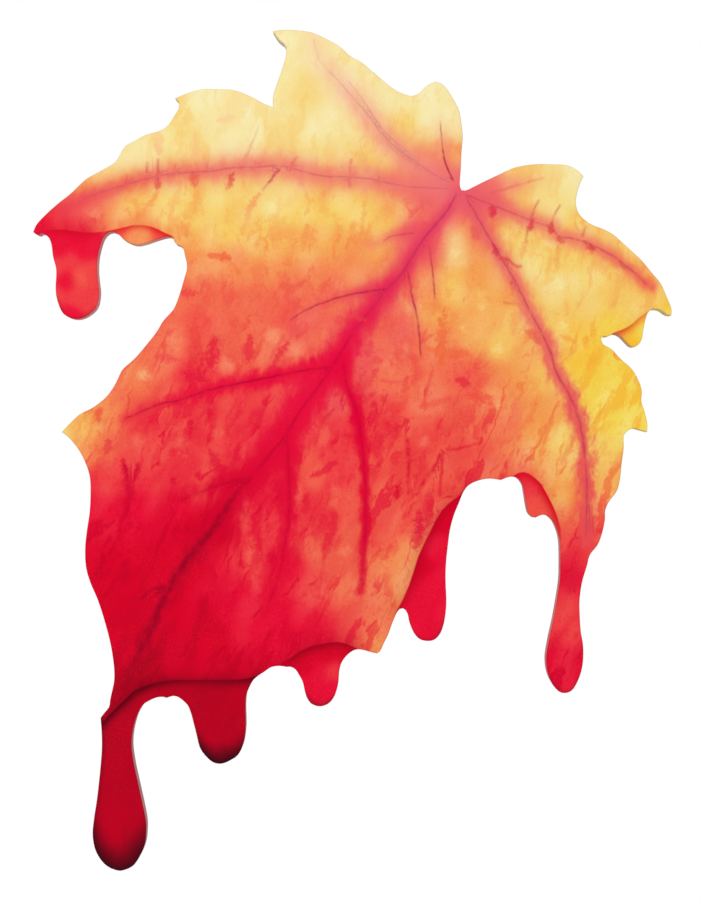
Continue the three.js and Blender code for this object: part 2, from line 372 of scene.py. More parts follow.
# Folds: the edge of the upper sheet, corners that close the area below it, how dark the shade is
# along the edge, its width in mm and paint, and how strongly it shows on the upper sheet.
folds = [
    {"edge": [(-306, 17), (-303, 20), (-292, 20.6), (-281, 20.5), (-271, 19.2), (-260, 17.5), (-250, 17.5),
              (-240, 18.5)],
     "below": [(-240, -80), (-310, -80), (-310, 10)],
     "dark": (0.0, 0.5, 0.55, 0.5, 0.3), "soft": 7.0, "paint": (202, 0, 34), "lift": 0.25},
    {"edge": [(-240, 18.5), (-228, 21), (-220, 23), (-212, 25), (-202, 25), (-194, 23.5), (-187.5, 21),
              (-182, 18), (-176, 15.5), (-171, 13)],
     "below": [(-176, 0), (-240, 0)],
     "dark": (0.9, 0.9, 0.75, 0.95, 1.0), "soft": 5.0, "paint": (226, 28, 36), "lift": 0.15},
    {"edge": [(-246, -469), (-242, -472), (-236, -465), (-228, -457), (-219, -448.5), (-212, -441.5),
              (-201, -436.4), (-191, -433), (-182, -431), (-169, -429.7), (-155, -429.7), (-121, -429.8),
              (-106, -429.5), (-97, -428.3), (-86, -425)],
     "below": [(-86, -560), (-150, -560), (-180, -640), (-270, -640), (-252, -466)],
     "dark": (0.9, 1.0, 0.95, 0.75, 0.6, 0.7, 0.95), "soft": 6.5, "paint": (92, 0, 18), "lift": 0.45},
    {"edge": [(-70, -416), (-65, -414.7), (-55, -408), (-45, -401), (-33, -396), (-18, -393), (-9, -392),
              (0, -393), (8, -396.4), (14, -400)],
     "below": [(14, -470), (-70, -470)],
     "dark": (0.5, 0.85, 0.9, 0.8, 0.6), "soft": 6.5, "paint": (158, 0, 26), "lift": 0.3},
    {"edge": [(121, -236), (119, -239.5), (113.5, -246), (104, -253), (97, -260), (90.5, -270.5),
              (85, -282), (79, -293.5), (73, -307), (69, -320), (64, -335), (58, -349), (51, -362)],
     "below": [(60, -400), (110, -400), (112, -300), (125, -244)],
     "dark": (0.3, 0.5, 0.6, 0.6, 0.55, 0.5), "soft": 7.0, "paint": (168, 0, 28), "lift": 0.3},
    {"edge": [(162, -227.5), (168, -226), (173, -223), (178.5, -222), (184, -223.7), (190, -228),
              (196, -233.6), (200, -240.6), (204, -248), (208, -256), (211, -263), (213.6, -270.6),
              (215.5, -279), (216.4, -290)],
     "below": [(200, -290), (160, -240)],
     "dark": (0.5, 0.9, 1.0, 1.0, 0.9, 0.6), "soft": 7.0, "paint": (214, 6, 34), "lift": 0.2},
    {"edge": [(306, -59.5), (304, -60.7), (299, -64), (293.4, -68), (288, -73), (282.5, -77), (277, -79.7),
              (271.7, -81.6), (266, -84)],
     "below": [(270, -110), (310, -110)],
     "dark": (0.5, 0.6, 0.8, 0.95, 0.9), "soft": 5.5, "paint": (222, 80, 40), "lift": 0.12},
]

# Veins.
midribPath = [
    (113, 58.5), (103, 41), (93, 28), (80, 13), (65, -10), (55, -26), (42, -39), (26, -60), (7, -83),
    (-6, -106), (-18, -125), (-31, -142), (-46, -163), (-60, -186), (-73, -202), (-91, -224),
    (-111, -246), (-132, -279), (-152, -303), (-169, -326), (-177, -340), (-187, -361), (-191, -375),
    (-203, -397), (-215, -420),
]
leftVein = [
    (111, 61), (88, 62), (59, 64), (31, 70), (5, 73), (-22, 74), (-46, 79.5), (-65, 84), (-89, 83),
    (-115, 82), (-133, 79), (-166, 77), (-200, 71), (-229, 62.5), (-249, 56), (-265, 49), (-280, 40),
]
topVein = [
    (107, 67), (92, 74), (74, 86), (54, 100), (36.5, 117), (23, 135), (12, 148), (-3, 165), (-19, 182),
    (-27, 193), (-31.5, 212),
]
rightVein = [
    (116, 57), (139.5, 48), (162.5, 39), (187.5, 29), (205, 23), (214, 14), (228, 11.5), (245, 6),
    (266, -5), (281.5, -16), (293, -26), (305, -37),
]
lowerRightVein = [
    (118, 57), (128, 41), (139.5, 20), (151, 1), (162.5, -18), (174, -39), (185.5, -62), (197, -83.5),
    (205, -101), (210.5, -120), (218, -134), (228, -153), (235.5, -176), (239, -199), (241, -224),
    (242, -253), (241, -291),
]
leftSideVein = [
    (-10, -117), (-31, -119), (-54, -123), (-79, -128), (-108, -134), (-136, -140), (-165, -150),
    (-182, -153), (-202, -161), (-223, -170),
]
middleSideVein = [(42, -39), (26, -41), (3, -45), (-20, -52), (-39, -60), (-56, -71)]
rightSideVein = [
    (-2, -108), (1, -133), (11, -160), (17, -194), (20, -230), (20.5, -262), (20, -289), (18, -316),
    (15, -341),
]
lowSideVein = [(-59, -180), (-56, -222), (-56, -263), (-61, -300), (-66, -325), (-79, -360)]
lowLeftVein = [(-99, -228), (-132, -237), (-164, -250)]
upperStub = [(109, 68), (104, 78), (99, 92), (97, 107), (95, 129.5)]
middleStub = [(63, -22), (67, -45), (73, -73.5), (76, -108)]
shortStub = [(84, 5), (87.5, -20), (90, -50)]

# Airbrushed glow along veins: path, half width and strength along it, and its paints from start to end.
glows = [
    {"path": [(116, 60), (70, 6), (0, -92), (-60, -180), (-110, -245)], "width": (24, 26, 28, 32, 30),
     "strength": (0.34, 0.3, 0.34, 0.42, 0.25), "paints": [(238, 114, 110), (240, 84, 88), (236, 46, 70)]},
    {"path": [(116, 60), (140, 64), (172, 66), (200, 70)], "width": (14, 15, 14, 10),
     "strength": (0.7, 0.66, 0.6, 0.2), "paints": [(234, 92, 102), (240, 118, 112), (244, 160, 122)]},
    {"path": leftVein, "width": (18, 18, 16, 14, 12), "strength": (0.76, 0.8, 0.86, 0.86, 0.84),
     "paints": [(236, 112, 114), (238, 114, 108), (236, 100, 96), (232, 60, 76)]},
    {"path": topVein, "width": (17, 17, 16, 15, 12), "strength": (0.74, 0.74, 0.72, 0.52, 0.28),
     "paints": [(237, 116, 118), (241, 144, 132), (245, 176, 156)]},
    {"path": upperStub, "width": (14, 14, 13, 9),
     "strength": (0.6, 0.6, 0.5, 0.2), "paints": [(238, 100, 100), (244, 156, 130)]},
    {"path": rightVein, "width": (15, 12, 11, 10, 8), "strength": (0.9, 0.88, 0.86, 0.84, 0.76),
     "paints": [(230, 82, 100), (236, 110, 104), (238, 112, 98), (236, 84, 82)]},
    {"path": lowerRightVein, "width": (13, 11, 12, 11, 10), "strength": (0.88, 0.82, 0.88, 0.88, 0.78),
     "paints": [(232, 84, 100), (236, 102, 98), (232, 84, 88), (232, 76, 78)]},
    {"path": middleSideVein, "width": (12, 8, 7, 6), "strength": (0.9, 0.75, 0.6, 0.3),
     "paints": [(228, 40, 84), (238, 80, 84), (242, 94, 84)]},
    {"path": [(70, 17), (49, 14.5), (30, 6), (5, 0)], "width": (12, 7, 6, 6),
     "strength": (0.9, 0.65, 0.4, 0.1), "paints": [(234, 76, 94), (242, 122, 98)]},
    {"path": leftSideVein, "width": (14, 11, 10, 9, 6), "strength": (0.95, 0.95, 0.9, 0.85, 0.5),
     "paints": [(230, 0, 56), (232, 8, 58), (232, 16, 58), (236, 60, 66)]},
    {"path": rightSideVein, "width": (13, 8, 7.5, 7, 6), "strength": (0.97, 1.0, 1.0, 0.95, 0.75),
     "paints": [(230, 0, 56), (226, 2, 52), (224, 6, 50), (224, 18, 54)]},
    {"path": lowSideVein, "width": (12, 9, 8.5, 8), "strength": (0.85, 0.9, 0.88, 0.5),
     "paints": [(222, 0, 50), (228, 8, 54), (226, 6, 50)]},
    {"path": lowLeftVein, "width": (14, 12, 10), "strength": (0.8, 0.7, 0.4),
     "paints": [(216, 0, 46), (222, 0, 48)]},
    {"path": middleStub, "width": (8, 6, 5, 4),
     "strength": (0.6, 0.45, 0.35, 0.1), "paints": [(236, 60, 80), (242, 98, 84)]},
    {"path": shortStub, "width": (9, 6, 4), "strength": (0.7, 0.4, 0.15),
     "paints": [(234, 70, 90), (242, 110, 90)]},
    {"path": midribPath, "width": (7, 9, 13, 17, 19, 20, 20, 16, 12, 9, 8),
     "strength": (0.8, 0.9, 0.97, 1.0, 1.0, 1.0, 1.0, 0.95, 0.7, 0.55, 0.5),
     "paints": [(226, 66, 98), (226, 46, 88), (228, 20, 74), (230, 0, 58), (228, 0, 52), (218, 0, 46),
                (204, 0, 40), (184, 0, 38), (174, 0, 36)]},
]

# Paints that several strokes share.
mauve = (190, 78, 106)
rust = (210, 62, 64)
maroon = (128, 0, 38)
blood = (222, 14, 54)
scarlet = (220, 14, 48)
cherry = (208, 0, 48)
ember = (238, 128, 74)

# Fine brush lines: path, half width in mm and strength along it, and paint.
lines = [
    (midribPath[:9], (1.3, 1.2, 1.1), (0.55, 0.5, 0.3), (152, 36, 84)),
    (midribPath[8:16], (1.4, 2.0), (0.4, 0.45), (166, 0, 50)),
    (midribPath[15:], (2.6, 4.2, 4.0, 3.4, 2.8), (0.32, 0.6, 0.62, 0.5, 0.3), (122, 0, 32)),
    (leftVein, (1.1, 1.2, 1.2, 1.1), (0.4, 0.45, 0.5, 0.55, 0.55, 0.2), mauve),
    (topVein[:9], (1.1, 1.1, 1.0), (0.45, 0.5, 0.4, 0.25), (186, 100, 112)),
    ([(74, 90), (55, 105), (40, 118), (26, 138), (14, 156), (2, 170)], (1.0, 0.9), (0.2, 0.45, 0.3),
     (190, 108, 114)),
    ([(84, 76), (62, 90), (48, 100), (36, 112)], (1.0, 0.9), (0.15, 0.35, 0.1), (190, 104, 112)),
    (topVein[8:], (1.0, 1.0), (0.25, 0.3), (222, 146, 130)),
    (upperStub, (1.2, 1.1, 0.9), (0.9, 0.9, 0.55), (172, 30, 60)),
    (rightVein, (1.2, 1.1, 1.2), (0.55, 0.5, 0.6, 0.6), (186, 50, 78)),
    (lowerRightVein, (1.3, 1.3, 1.5, 1.3), (0.6, 0.65, 0.7, 0.6), (180, 50, 82)),
    ([(247, -253), (248, -282)], (1.2,), (0.4, 0.4), (200, 50, 70)),
    (leftSideVein, (1.3, 1.4, 1.2), (0.4, 0.6, 0.65, 0.6, 0.6), (160, 0, 48)),
    (middleSideVein, (1.3, 1.2, 1.0), (0.6, 0.65, 0.65, 0.5), (160, 10, 58)),
    ([(70, 17), (49, 14.5), (38, 9)], (1.2, 1.0), (0.5, 0.6, 0.3), (190, 50, 84)),
    (shortStub, (1.2, 1.0), (0.3, 0.7, 0.75), (172, 14, 58)),
    (middleStub, (1.3, 1.2, 1.0), (0.4, 0.75, 0.8, 0.65), (160, 6, 54)),
    (rightSideVein, (2.0, 1.8, 1.6), (0.4, 0.5, 0.5, 0.4), (184, 0, 50)),
    (lowSideVein, (2.0, 1.8), (0.4, 0.45, 0.35), (180, 0, 42)),
    (lowLeftVein, (2.0, 1.6), (0.45, 0.4, 0.2), (160, 0, 42)),
    ([(-177, -336), (-193, -340), (-207, -350)], (2.6, 2.0), (0.5, 0.4, 0.2), maroon),
    ([(-194, -378), (-209, -384)], (2.4, 2.0), (0.4, 0.2), maroon),
    ([(186, 30), (189, 41), (194, 51)], (1.8, 1.6), (0.8, 0.45), rust),
    ([(206, 25), (209, 34), (215, 46)], (1.8, 1.6), (0.8, 0.45), rust),
    ([(237, 13), (241, 24)], (1.8, 1.6), (0.7, 0.4), rust),
    ([(183, 24), (181, 8)], (1.8, 1.6), (0.7, 0.3), rust),
    ([(247, 5), (247, -4)], (1.8, 1.6), (0.7, 0.4), rust),
    ([(270, -6), (280, -20)], (1.8, 1.8), (0.6, 0.6), rust),
    ([(145, 57), (170, 64), (187, 69), (201, 72)], (1.8, 1.8, 1.4), (0.5, 0.5, 0.25), (222, 82, 92)),
    ([(152, -8), (164, -10), (170, -16), (178, -16)], (2.0, 1.8), (0.8, 0.6), (218, 52, 66)),
    ([(166, -30), (168, -46)], (1.8, 1.6), (0.6, 0.4), rust),
    ([(158, -52), (174, -55)], (1.8, 1.6), (0.5, 0.5), (226, 84, 74)),
    ([(242, -182), (255, -164), (264, -149)], (1.8, 1.4), (0.5, 0.25), ember),
    ([(-198, 88), (-198, 76)], (1.8, 1.6), (0.6, 0.6), rust),
    ([(-187, 92), (-187, 70)], (1.8, 1.8), (0.5, 0.7), rust),
    ([(-65, 82), (-76, 68), (-83, 59)], (1.8, 1.7, 1.6), (0.9, 0.9, 0.5), (204, 66, 76)),
    ([(-103, 84), (-96, 100), (-90, 114), (-86, 126)], (1.7, 1.5, 1.3), (0.55, 0.5, 0.2), (232, 140, 104)),
    ([(-48, 94), (-54, 84), (-56, 78)], (1.8, 1.6), (0.6, 0.6), (218, 84, 88)),
    ([(6, 92), (5, 78), (5, 62)], (2.0, 1.8), (0.5, 0.5), (220, 92, 98)),
    ([(34, 74), (35, 64)], (1.6, 1.6), (0.4, 0.4), (216, 92, 100)),
    ([(-138, 88), (-137, 76)], (1.6, 1.6), (0.5, 0.4), (222, 100, 92)),
    ([(-170, 86), (-171, 72)], (1.6, 1.6), (0.5, 0.4), (222, 96, 88)),
    ([(-89, 90), (-92, 78)], (1.6, 1.6), (0.5, 0.4), (222, 96, 92)),
    ([(-218, 76), (-220, 62)], (1.8, 1.8), (0.5, 0.4), (222, 74, 74)),
    ([(62, -187), (64, -212), (63, -246)], (2.8, 2.8, 2.2), (0.9, 0.95, 0.8), scarlet),
    ([(98, -198), (90, -216), (80, -230), (70, -247)], (2.4, 2.8, 2.4), (0.9, 0.95, 0.8), scarlet),
    ([(98, -200), (96, -223), (95, -247)], (2.4, 2.4, 2.0), (0.8, 0.8, 0.7), scarlet),
    ([(100, -200), (116, -198), (134, -193)], (2.2, 2.0, 1.6), (0.8, 0.7, 0.4), scarlet),
    ([(32, -217), (38, -208)], (2.2, 2.0), (0.6, 0.6), scarlet),
    ([(-221, -212), (-218, -228), (-216, -250), (-220, -270)], (2.8, 2.8, 2.0), (0.9, 1.0, 0.6), cherry),
    ([(-207, -214), (-211, -232), (-214, -246)], (2.4, 2.4), (0.9, 0.8), cherry),
    ([(-135, -146), (-144, -166), (-155, -188)], (2.4, 2.4, 1.8), (0.5, 0.6, 0.3), scarlet),
    ([(-168, -158), (-178, -180)], (2.4, 1.8), (0.5, 0.4), scarlet),
    ([(-108, -150), (-120, -172)], (2.4, 1.8), (0.5, 0.4), scarlet),
    ([(-18, -282), (-22, -310), (-26, -346)], (2.4, 2.4, 1.8), (0.5, 0.5, 0.3), scarlet),
    ([(-106, -254), (-108, -290), (-104, -340)], (3.4, 3.6, 3.0), (0.5, 0.6, 0.5), blood),
    ([(-84, -262), (-86, -290), (-80, -322)], (2.6, 2.8, 2.0), (0.5, 0.6, 0.4), blood),
    ([(-10, -158), (-22, -172), (-30, -196)], (2.4, 2.2, 1.8), (0.6, 0.5, 0.3), scarlet),
    ([(34, -130), (52, -132), (70, -124)], (2.2, 2.0, 1.6), (0.5, 0.5, 0.3), (232, 60, 66)),
    ([(-112, -14), (-104, -26)], (2.2, 1.8), (0.5, 0.4), (238, 96, 60)),
    ([(-62, -34), (-76, -52)], (2.2, 1.8), (0.6, 0.4), (236, 88, 66)),
    ([(-60, -84), (-76, -110)], (2.4, 1.8), (0.5, 0.5), (232, 50, 64)),
]

# Dabs of a fuller brush, stated the same way.
dabs = [
    ([(147, 32), (148, 43)], (3.6, 4.4), (0.9, 0.9), (222, 50, 72)),
    ([(185, 20), (187, 29)], (3.6, 3.6), (0.8, 0.8), (220, 60, 72)),
    ([(205, 17), (207, 26)], (3.8, 3.4), (0.8, 0.7), (222, 62, 68)),
    ([(212, 12), (219, 8)], (3.4, 3.2), (0.7, 0.6), (224, 70, 68)),
    ([(240, 7), (249, 1)], (4.4, 4.2), (0.8, 0.8), (222, 70, 72)),
    ([(149, 5), (152, -5)], (4.4, 4.0), (0.8, 0.8), (220, 58, 76)),
    ([(128, 22), (134, 10)], (5.0, 4.0), (0.6, 0.5), (232, 84, 90)),
    ([(213, 4), (213, -19)], (3.4, 3.0), (0.5, 0.35), ember),
    ([(181, 10), (176, -8)], (3.4, 3.0), (0.5, 0.35), ember),
    ([(181, -80), (196, -92)], (5.0, 5.0), (0.6, 0.6), (230, 92, 74)),
    ([(216, -86), (226, -90), (231, -98), (224, -106)], (3.4, 3.2), (0.6, 0.5), (242, 150, 70)),
    ([(241, -86), (240, -98)], (3.6, 3.4), (0.6, 0.5), (242, 152, 62)),
    ([(221, -50), (222, -66)], (3.8, 3.4), (0.45, 0.4), (243, 164, 84)),
    ([(293, -122), (292, -134)], (3.4, 3.4), (0.5, 0.4), (243, 160, 56)),
    ([(231, -187), (224, -200), (217, -214)], (4.0, 3.4), (0.6, 0.4), (236, 112, 72)),
    ([(237, -222), (228, -230)], (4.0, 3.6), (0.6, 0.4), (234, 100, 72)),
    ([(200, -176), (194, -196)], (5.0, 4.4), (0.4, 0.4), (238, 124, 70)),
    ([(170, -62), (168, -84)], (5.0, 4.4), (0.4, 0.4), (238, 136, 80)),
    ([(-186, 118), (-186, 96)], (4.4, 5.0), (0.4, 0.6), (244, 176, 122)),
    ([(-150, 116), (-150, 92)], (3.8, 4.4), (0.3, 0.45), (245, 188, 132)),
    ([(-127, 129), (-110, 133)], (4.4, 4.0), (0.4, 0.45), (246, 190, 144)),
    ([(-187, 70), (-188, 61)], (3.6, 3.4), (0.8, 0.7), (224, 78, 72)),
    ([(-187, 58), (-198, 42), (-212, 30), (-228, 26)], (4.0, 5.0, 5.0), (0.6, 0.5, 0.4), (240, 140, 76)),
    ([(-112, 76), (-115, 68), (-119, 60)], (4.6, 4.4, 3.4), (0.9, 0.8, 0.5), (222, 78, 78)),
    ([(-84, 58), (-94, 44), (-98, 30)], (3.6, 4.4, 4.0), (0.7, 0.6, 0.3), (240, 142, 86)),
    ([(-152, 76), (-150, 64)], (5.4, 4.4), (0.8, 0.6), (228, 92, 80)),
    ([(-148, 58), (-150, 40)], (4.0, 4.0), (0.4, 0.3), (243, 156, 80)),
    ([(-38, 24), (-42, 0)], (5.0, 4.4), (0.6, 0.5), (242, 140, 76)),
    ([(-22, 60), (-21, 54)], (3.6, 3.2), (0.5, 0.4), (240, 150, 96)),
    ([(-115, -8), (-136, -5)], (4.4, 4.0), (0.8, 0.7), (238, 96, 60)),
    ([(-168, -42), (-150, -44)], (5.0, 5.0), (0.8, 0.8), (234, 66, 66)),
    ([(-74, -121), (-66, -105), (-55, -89)], (3.6, 3.4), (0.8, 0.7), (228, 34, 62)),
    ([(-41, -60), (-58, -46), (-38, -30)], (3.6, 3.2), (0.6, 0.5), (234, 84, 70)),
    ([(-130, -88), (-134, -116)], (6.0, 7.0), (0.9, 0.9), (228, 34, 60)),
    ([(-95, -86), (-98, -112)], (5.0, 5.4), (0.8, 0.8), (230, 40, 62)),
    ([(-160, -124), (-140, -130)], (7.0, 6.0), (0.9, 0.9), (228, 26, 60)),
    ([(-190, -106), (-170, -110)], (5.0, 4.4), (0.6, 0.6), (234, 66, 70)),
    ([(-247, -158), (-246, -172)], (3.0, 3.0), (0.8, 0.8), (232, 96, 66)),
    ([(97, -114), (96, -92), (99, -60)], (5.0, 6.0, 4.4), (0.85, 0.8, 0.6), (238, 104, 58)),
    ([(82, -98), (100, -102), (124, -104)], (4.6, 5.0), (0.75, 0.7), (238, 108, 60)),
    ([(52, -236), (52, -248)], (5.0, 5.0), (1.0, 1.0), (222, 20, 46)),
    ([(112, -130), (126, -134)], (5.0, 4.4), (0.9, 0.9), (230, 52, 64)),
    ([(126, -146), (146, -150)], (8.0, 8.0), (0.7, 0.7), (238, 72, 60)),
    ([(76, -158), (104, -148)], (4.4, 4.0), (0.5, 0.5), (234, 66, 64)),
    ([(74, -262), (75, -278), (70, -298)], (6.0, 7.0, 6.0), (0.9, 0.95, 0.7), (226, 30, 60)),
    ([(-34, -226), (-22, -222), (-8, -210)], (4.4, 4.0), (0.8, 0.7), (226, 20, 56)),
    ([(-10, -262), (-14, -286), (-20, -308)], (4.6, 4.4), (0.7, 0.6), (228, 30, 58)),
    ([(-38, -240), (-40, -262)], (5.0, 4.4), (0.6, 0.5), (226, 22, 56)),
    ([(36, -186), (34, -220)], (4.4, 4.0), (0.6, 0.5), (230, 34, 60)),
    ([(-222, -210), (-218, -228), (-216, -246)], (4.4, 4.6, 4.0), (0.8, 0.7, 0.5), blood),
    ([(-206, -213), (-211, -232)], (3.8, 3.6), (0.7, 0.7), blood),
    ([(-236, -190), (-240, -204)], (4.0, 4.4), (0.7, 0.6), (230, 50, 62)),
    ([(-173, -228), (-170, -234)], (4.0, 3.6), (0.9, 0.9), blood),
    ([(-136, -200), (-128, -214), (-118, -226)], (6.0, 7.0), (0.7, 0.8), blood),
    ([(-186, -196), (-192, -212)], (4.0, 3.6), (0.5, 0.5), (228, 40, 60)),
    ([(-158, -190), (-164, -206)], (3.6, 3.6), (0.5, 0.5), (230, 44, 62)),
    ([(-92, -262), (-88, -300), (-96, -330)], (5.0, 6.0, 5.0), (0.6, 0.7, 0.5), (226, 12, 52)),
    ([(-64, -280), (-62, -300)], (5.0, 5.0), (0.6, 0.6), (224, 10, 52)),
    ([(-30, -360), (-34, -390)], (6.0, 6.0), (0.5, 0.6), (228, 20, 52)),
    ([(228, -320), (224, -342)], (6.0, 6.0), (0.6, 0.6), (222, 24, 56)),
    ([(-240, 62), (-228, 66)], (5.0, 4.4), (0.5, 0.5), (236, 108, 84)),
    ([(-282, -24), (-276, -44)], (5.0, 4.4), (0.5, 0.5), (214, 20, 48)),
    ([(-150, -158), (-172, -164)], (4.4, 4.0), (0.4, 0.4), (232, 44, 62)),
    ([(14, -58), (10, -66), (20, -70)], (3.6, 3.4), (0.5, 0.5), (234, 66, 72)),
    ([(62, -128), (58, -142)], (4.4, 4.0), (0.6, 0.5), (234, 58, 64)),
    ([(26, -92), (22, -106)], (5.0, 5.0), (0.6, 0.5), (232, 50, 70)),
]

# Pale drops: centre, half width, half height, strength.
paleDrops = [
    (-252, 38, 9, 7, 0.6), (-161, 56, 12, 9, 0.4), (-98, 48, 10, 9, 0.4), (-70, 44, 15, 13, 0.6),
    (-151, 28, 12, 9, 0.4), (214, -34, 9, 10, 0.7), (206, 7, 8, 7, 0.6), (162, 13, 8, 8, 0.6),
    (219, -76, 8, 9, 0.6), (239, -171, 7, 10, 0.5), (108, -10, 13, 22, 0.5), (152, -98, 9, 10, 0.5),
    (152, -153, 9, 10, 0.5), (44, -120, 14, 18, 0.45), (-72, -87, 12, 13, 0.8), (-119, -118, 9, 11, 0.9),
    (-201, -123, 9, 9, 0.8), (-243, -176, 8, 8, 0.6), (78, -192, 8, 11, 0.6), (-22, -186, 9, 18, 0.8),
    (-74, -250, 8, 20, 0.45), (68, -52, 9, 18, 0.8), (-50, -100, 10, 13, 0.7), (-100, -262, 7, 24, 0.8),
    (-205, -196, 14, 20, 0.6), (-165, -190, 12, 22, 0.6), (-126, -182, 12, 20, 0.6),
    (-190, 100, 10, 10, 0.4), (44, 50, 22, 14, 0.4), (-30, -300, 10, 26, 0.35), (-10, -240, 8, 20, 0.6),
    (-46, -250, 6, 22, 0.6), (40, -170, 10, 20, 0.4), (136, -52, 10, 18, 0.5), (-34, -178, 9, 14, 0.7),
    (190, 52, 9, 8, 0.5), (-136, 146, 9, 8, 0.4), (-170, -92, 10, 14, 0.7), (262, -120, 8, 12, 0.4),
    (60, -100, 8, 14, 0.5), (-24, -340, 9, 20, 0.6), (0, -300, 8, 18, 0.5), (-92, -308, 8, 24, 0.8),
    (-88, -340, 9, 12, 0.7), (118, -76, 9, 16, 0.4),
]

facePaint = {
    "arris": 0.8, "arrisSteps": 3, "gridStep": 2.4, "smoothBelow": 38.0,
    "spread": 23.0, "underSpread": 12.0, "pull": 3.6, "pathStep": 4.0,
    "glowReach": 2.6, "glowFall": 1.1, "lineReach": 16.0, "lineScale": 0.75, "lineLimit": 9.0,
    "lineEnds": 30.0, "fadeBefore": 5.0, "fadeOver": 1.5, "dabReach": 40.0, "dabScale": 0.95,
    "dabTaper": 0.6, "dabLimit": 9.0, "shadeReach": 40.0, "shadeFall": 1.3, "foldReach": 400.0,
    "foldLimit": 60.0, "foldSoft": 5.0, "dropFall": 0.8, "rimReach": 40.0, "farAway": 80.0, "blank": 128.0,
}
faceLayers = ("palePaint", "midPaint", "deepPaint")
underLayers = ("underPale", "underMid", "underDeep")


# Laying the paint on a mesh. A sheet is a list of points of the mesh, x and z in mm.
def evenPath(points):
    # a smooth curve through the points, in short steps
    knots = np.array(points, float)
    ends = np.vstack([2 * knots[0] - knots[1], knots, 2 * knots[-1] - knots[-2]])
    places = []
    for i in range(len(knots) - 1):
        a, b, c, d = ends[i:i + 4]
        count = max(2, int(np.linalg.norm(c - b) / facePaint["pathStep"]) + 1)
        t = (np.arange(count) / count)[:, None]
        bend = (3 * b - a - 3 * c + d) * t ** 3
        places.append(0.5 * (2 * b + (c - a) * t + (2 * a - 5 * b + 4 * c - d) * t ** 2 + bend))
    places.append(knots[-1:])
    return np.vstack(places)


def alongPath(sheet, points, reach, smooth=True):
    # for points within reach: their numbers, distance, share of the way along, and side
    path = evenPath(points) if smooth else np.array(points, float)
    near = ((sheet > path.min(0) - reach) & (sheet < path.max(0) + reach)).all(1)
    near = np.where(near)[0]
    steps = path[1:] - path[:-1]
    lengths = np.linalg.norm(steps, axis=1)
    offset = sheet[near][:, None, :] - path[None, :-1]
    share = np.clip((offset * steps).sum(2) / lengths ** 2, 0.0, 1.0)
    gap = offset - share[..., None] * steps
    distance = np.sqrt((gap ** 2).sum(2))
    best = distance.argmin(1)
    rows = np.arange(len(near))
    before = np.concatenate([[0.0], np.cumsum(lengths)])
    along = (before[best] + share[rows, best] * lengths[best]) / before[-1]
    turn = steps[best, 0] * gap[rows, best, 1] - steps[best, 1] * gap[rows, best, 0]
    return near, distance[rows, best], along, np.where(turn < 0, -1.0, 1.0)


def spreadOver(along, values):
    # values stated at even stops, read off along the path
    values = np.array(values, float)
    stops = np.linspace(0.0, 1.0, len(values))
    if len(values) == 1:
        return np.repeat(values, len(along), axis=0)
    if values.ndim == 1:
        return np.interp(along, stops, values)
    return np.stack([np.interp(along, stops, values[:, k]) for k in range(values.shape[1])], axis=1)


def insideArea(sheet, corners):
    inside = np.zeros(len(sheet), bool)
    x, z = sheet[:, 0], sheet[:, 1]
    last = corners[-1]
    for corner in corners:
        crosses = (corner[1] > z) != (last[1] > z)
        rise = (last[1] - corner[1]) or 1e-9
        inside ^= crosses & (x < (last[0] - corner[0]) * (z - corner[1]) / rise + corner[0])
        last = corner
    return inside


def blankLayers(sheet, farValue):
    # a distance that is far off everywhere, no strength, and a paint that never shows
    distance = np.full(len(sheet), farValue)
    return distance, np.zeros(len(sheet)), np.full((len(sheet), 3), facePaint["blank"])


def washOver(sheet, places, spread):
    total = np.zeros((len(sheet), 1))
    mixed = np.zeros((3, len(sheet), 3))
    for name, spots in places.items():
        shades = np.array(paints[name], float)
        for spot in spots:
            gap = ((sheet - spot) ** 2).sum(1)[:, None]
            weight = 1.0 / (gap + spread ** 2) ** facePaint["pull"]
            total += weight
            mixed += weight[None] * shades[:, None, :]
    return mixed / total


def glowOver(sheet):
    glow = np.zeros(len(sheet))
    tint = np.zeros((len(sheet), 3))
    tiny = 1e-6
    weight = np.full((len(sheet), 1), tiny)
    for stroke in glows:
        reach = facePaint["glowReach"] * max(stroke["width"])
        near, distance, along, _ = alongPath(sheet, stroke["path"], reach)
        width = spreadOver(along, stroke["width"])
        falloff = np.exp(-(distance / width) ** 2 * facePaint["glowFall"])
        amount = spreadOver(along, stroke["strength"]) * falloff
        glow[near] = 1 - (1 - glow[near]) * (1 - amount)
        pull = (amount[:, None] + tiny) ** 2
        tint[near] += pull * spreadOver(along, stroke["paints"])
        weight[near] += pull
    return glow, tint / weight


def linesOver(sheet):
    # distance is stated in half widths, and is negative to one side
    across, strength, tint = blankLayers(sheet, facePaint["farAway"])
    for path, widths, strengths, paint in lines:
        near, distance, along, side = alongPath(sheet, path, facePaint["lineReach"])
        reach = distance / (spreadOver(along, widths) * facePaint["lineScale"])
        closer = reach < np.abs(across[near])
        near = near[closer]
        across[near] = (reach * side)[closer]
        ends = np.clip(np.minimum(along, 1 - along) * facePaint["lineEnds"], 0, 1)[closer]
        fade = np.clip((facePaint["fadeBefore"] - reach[closer]) / facePaint["fadeOver"], 0, 1)
        strength[near] = spreadOver(along, strengths)[closer] * fade * ends
        tint[near] = paint
    return np.clip(across, -facePaint["lineLimit"], facePaint["lineLimit"]), strength, tint


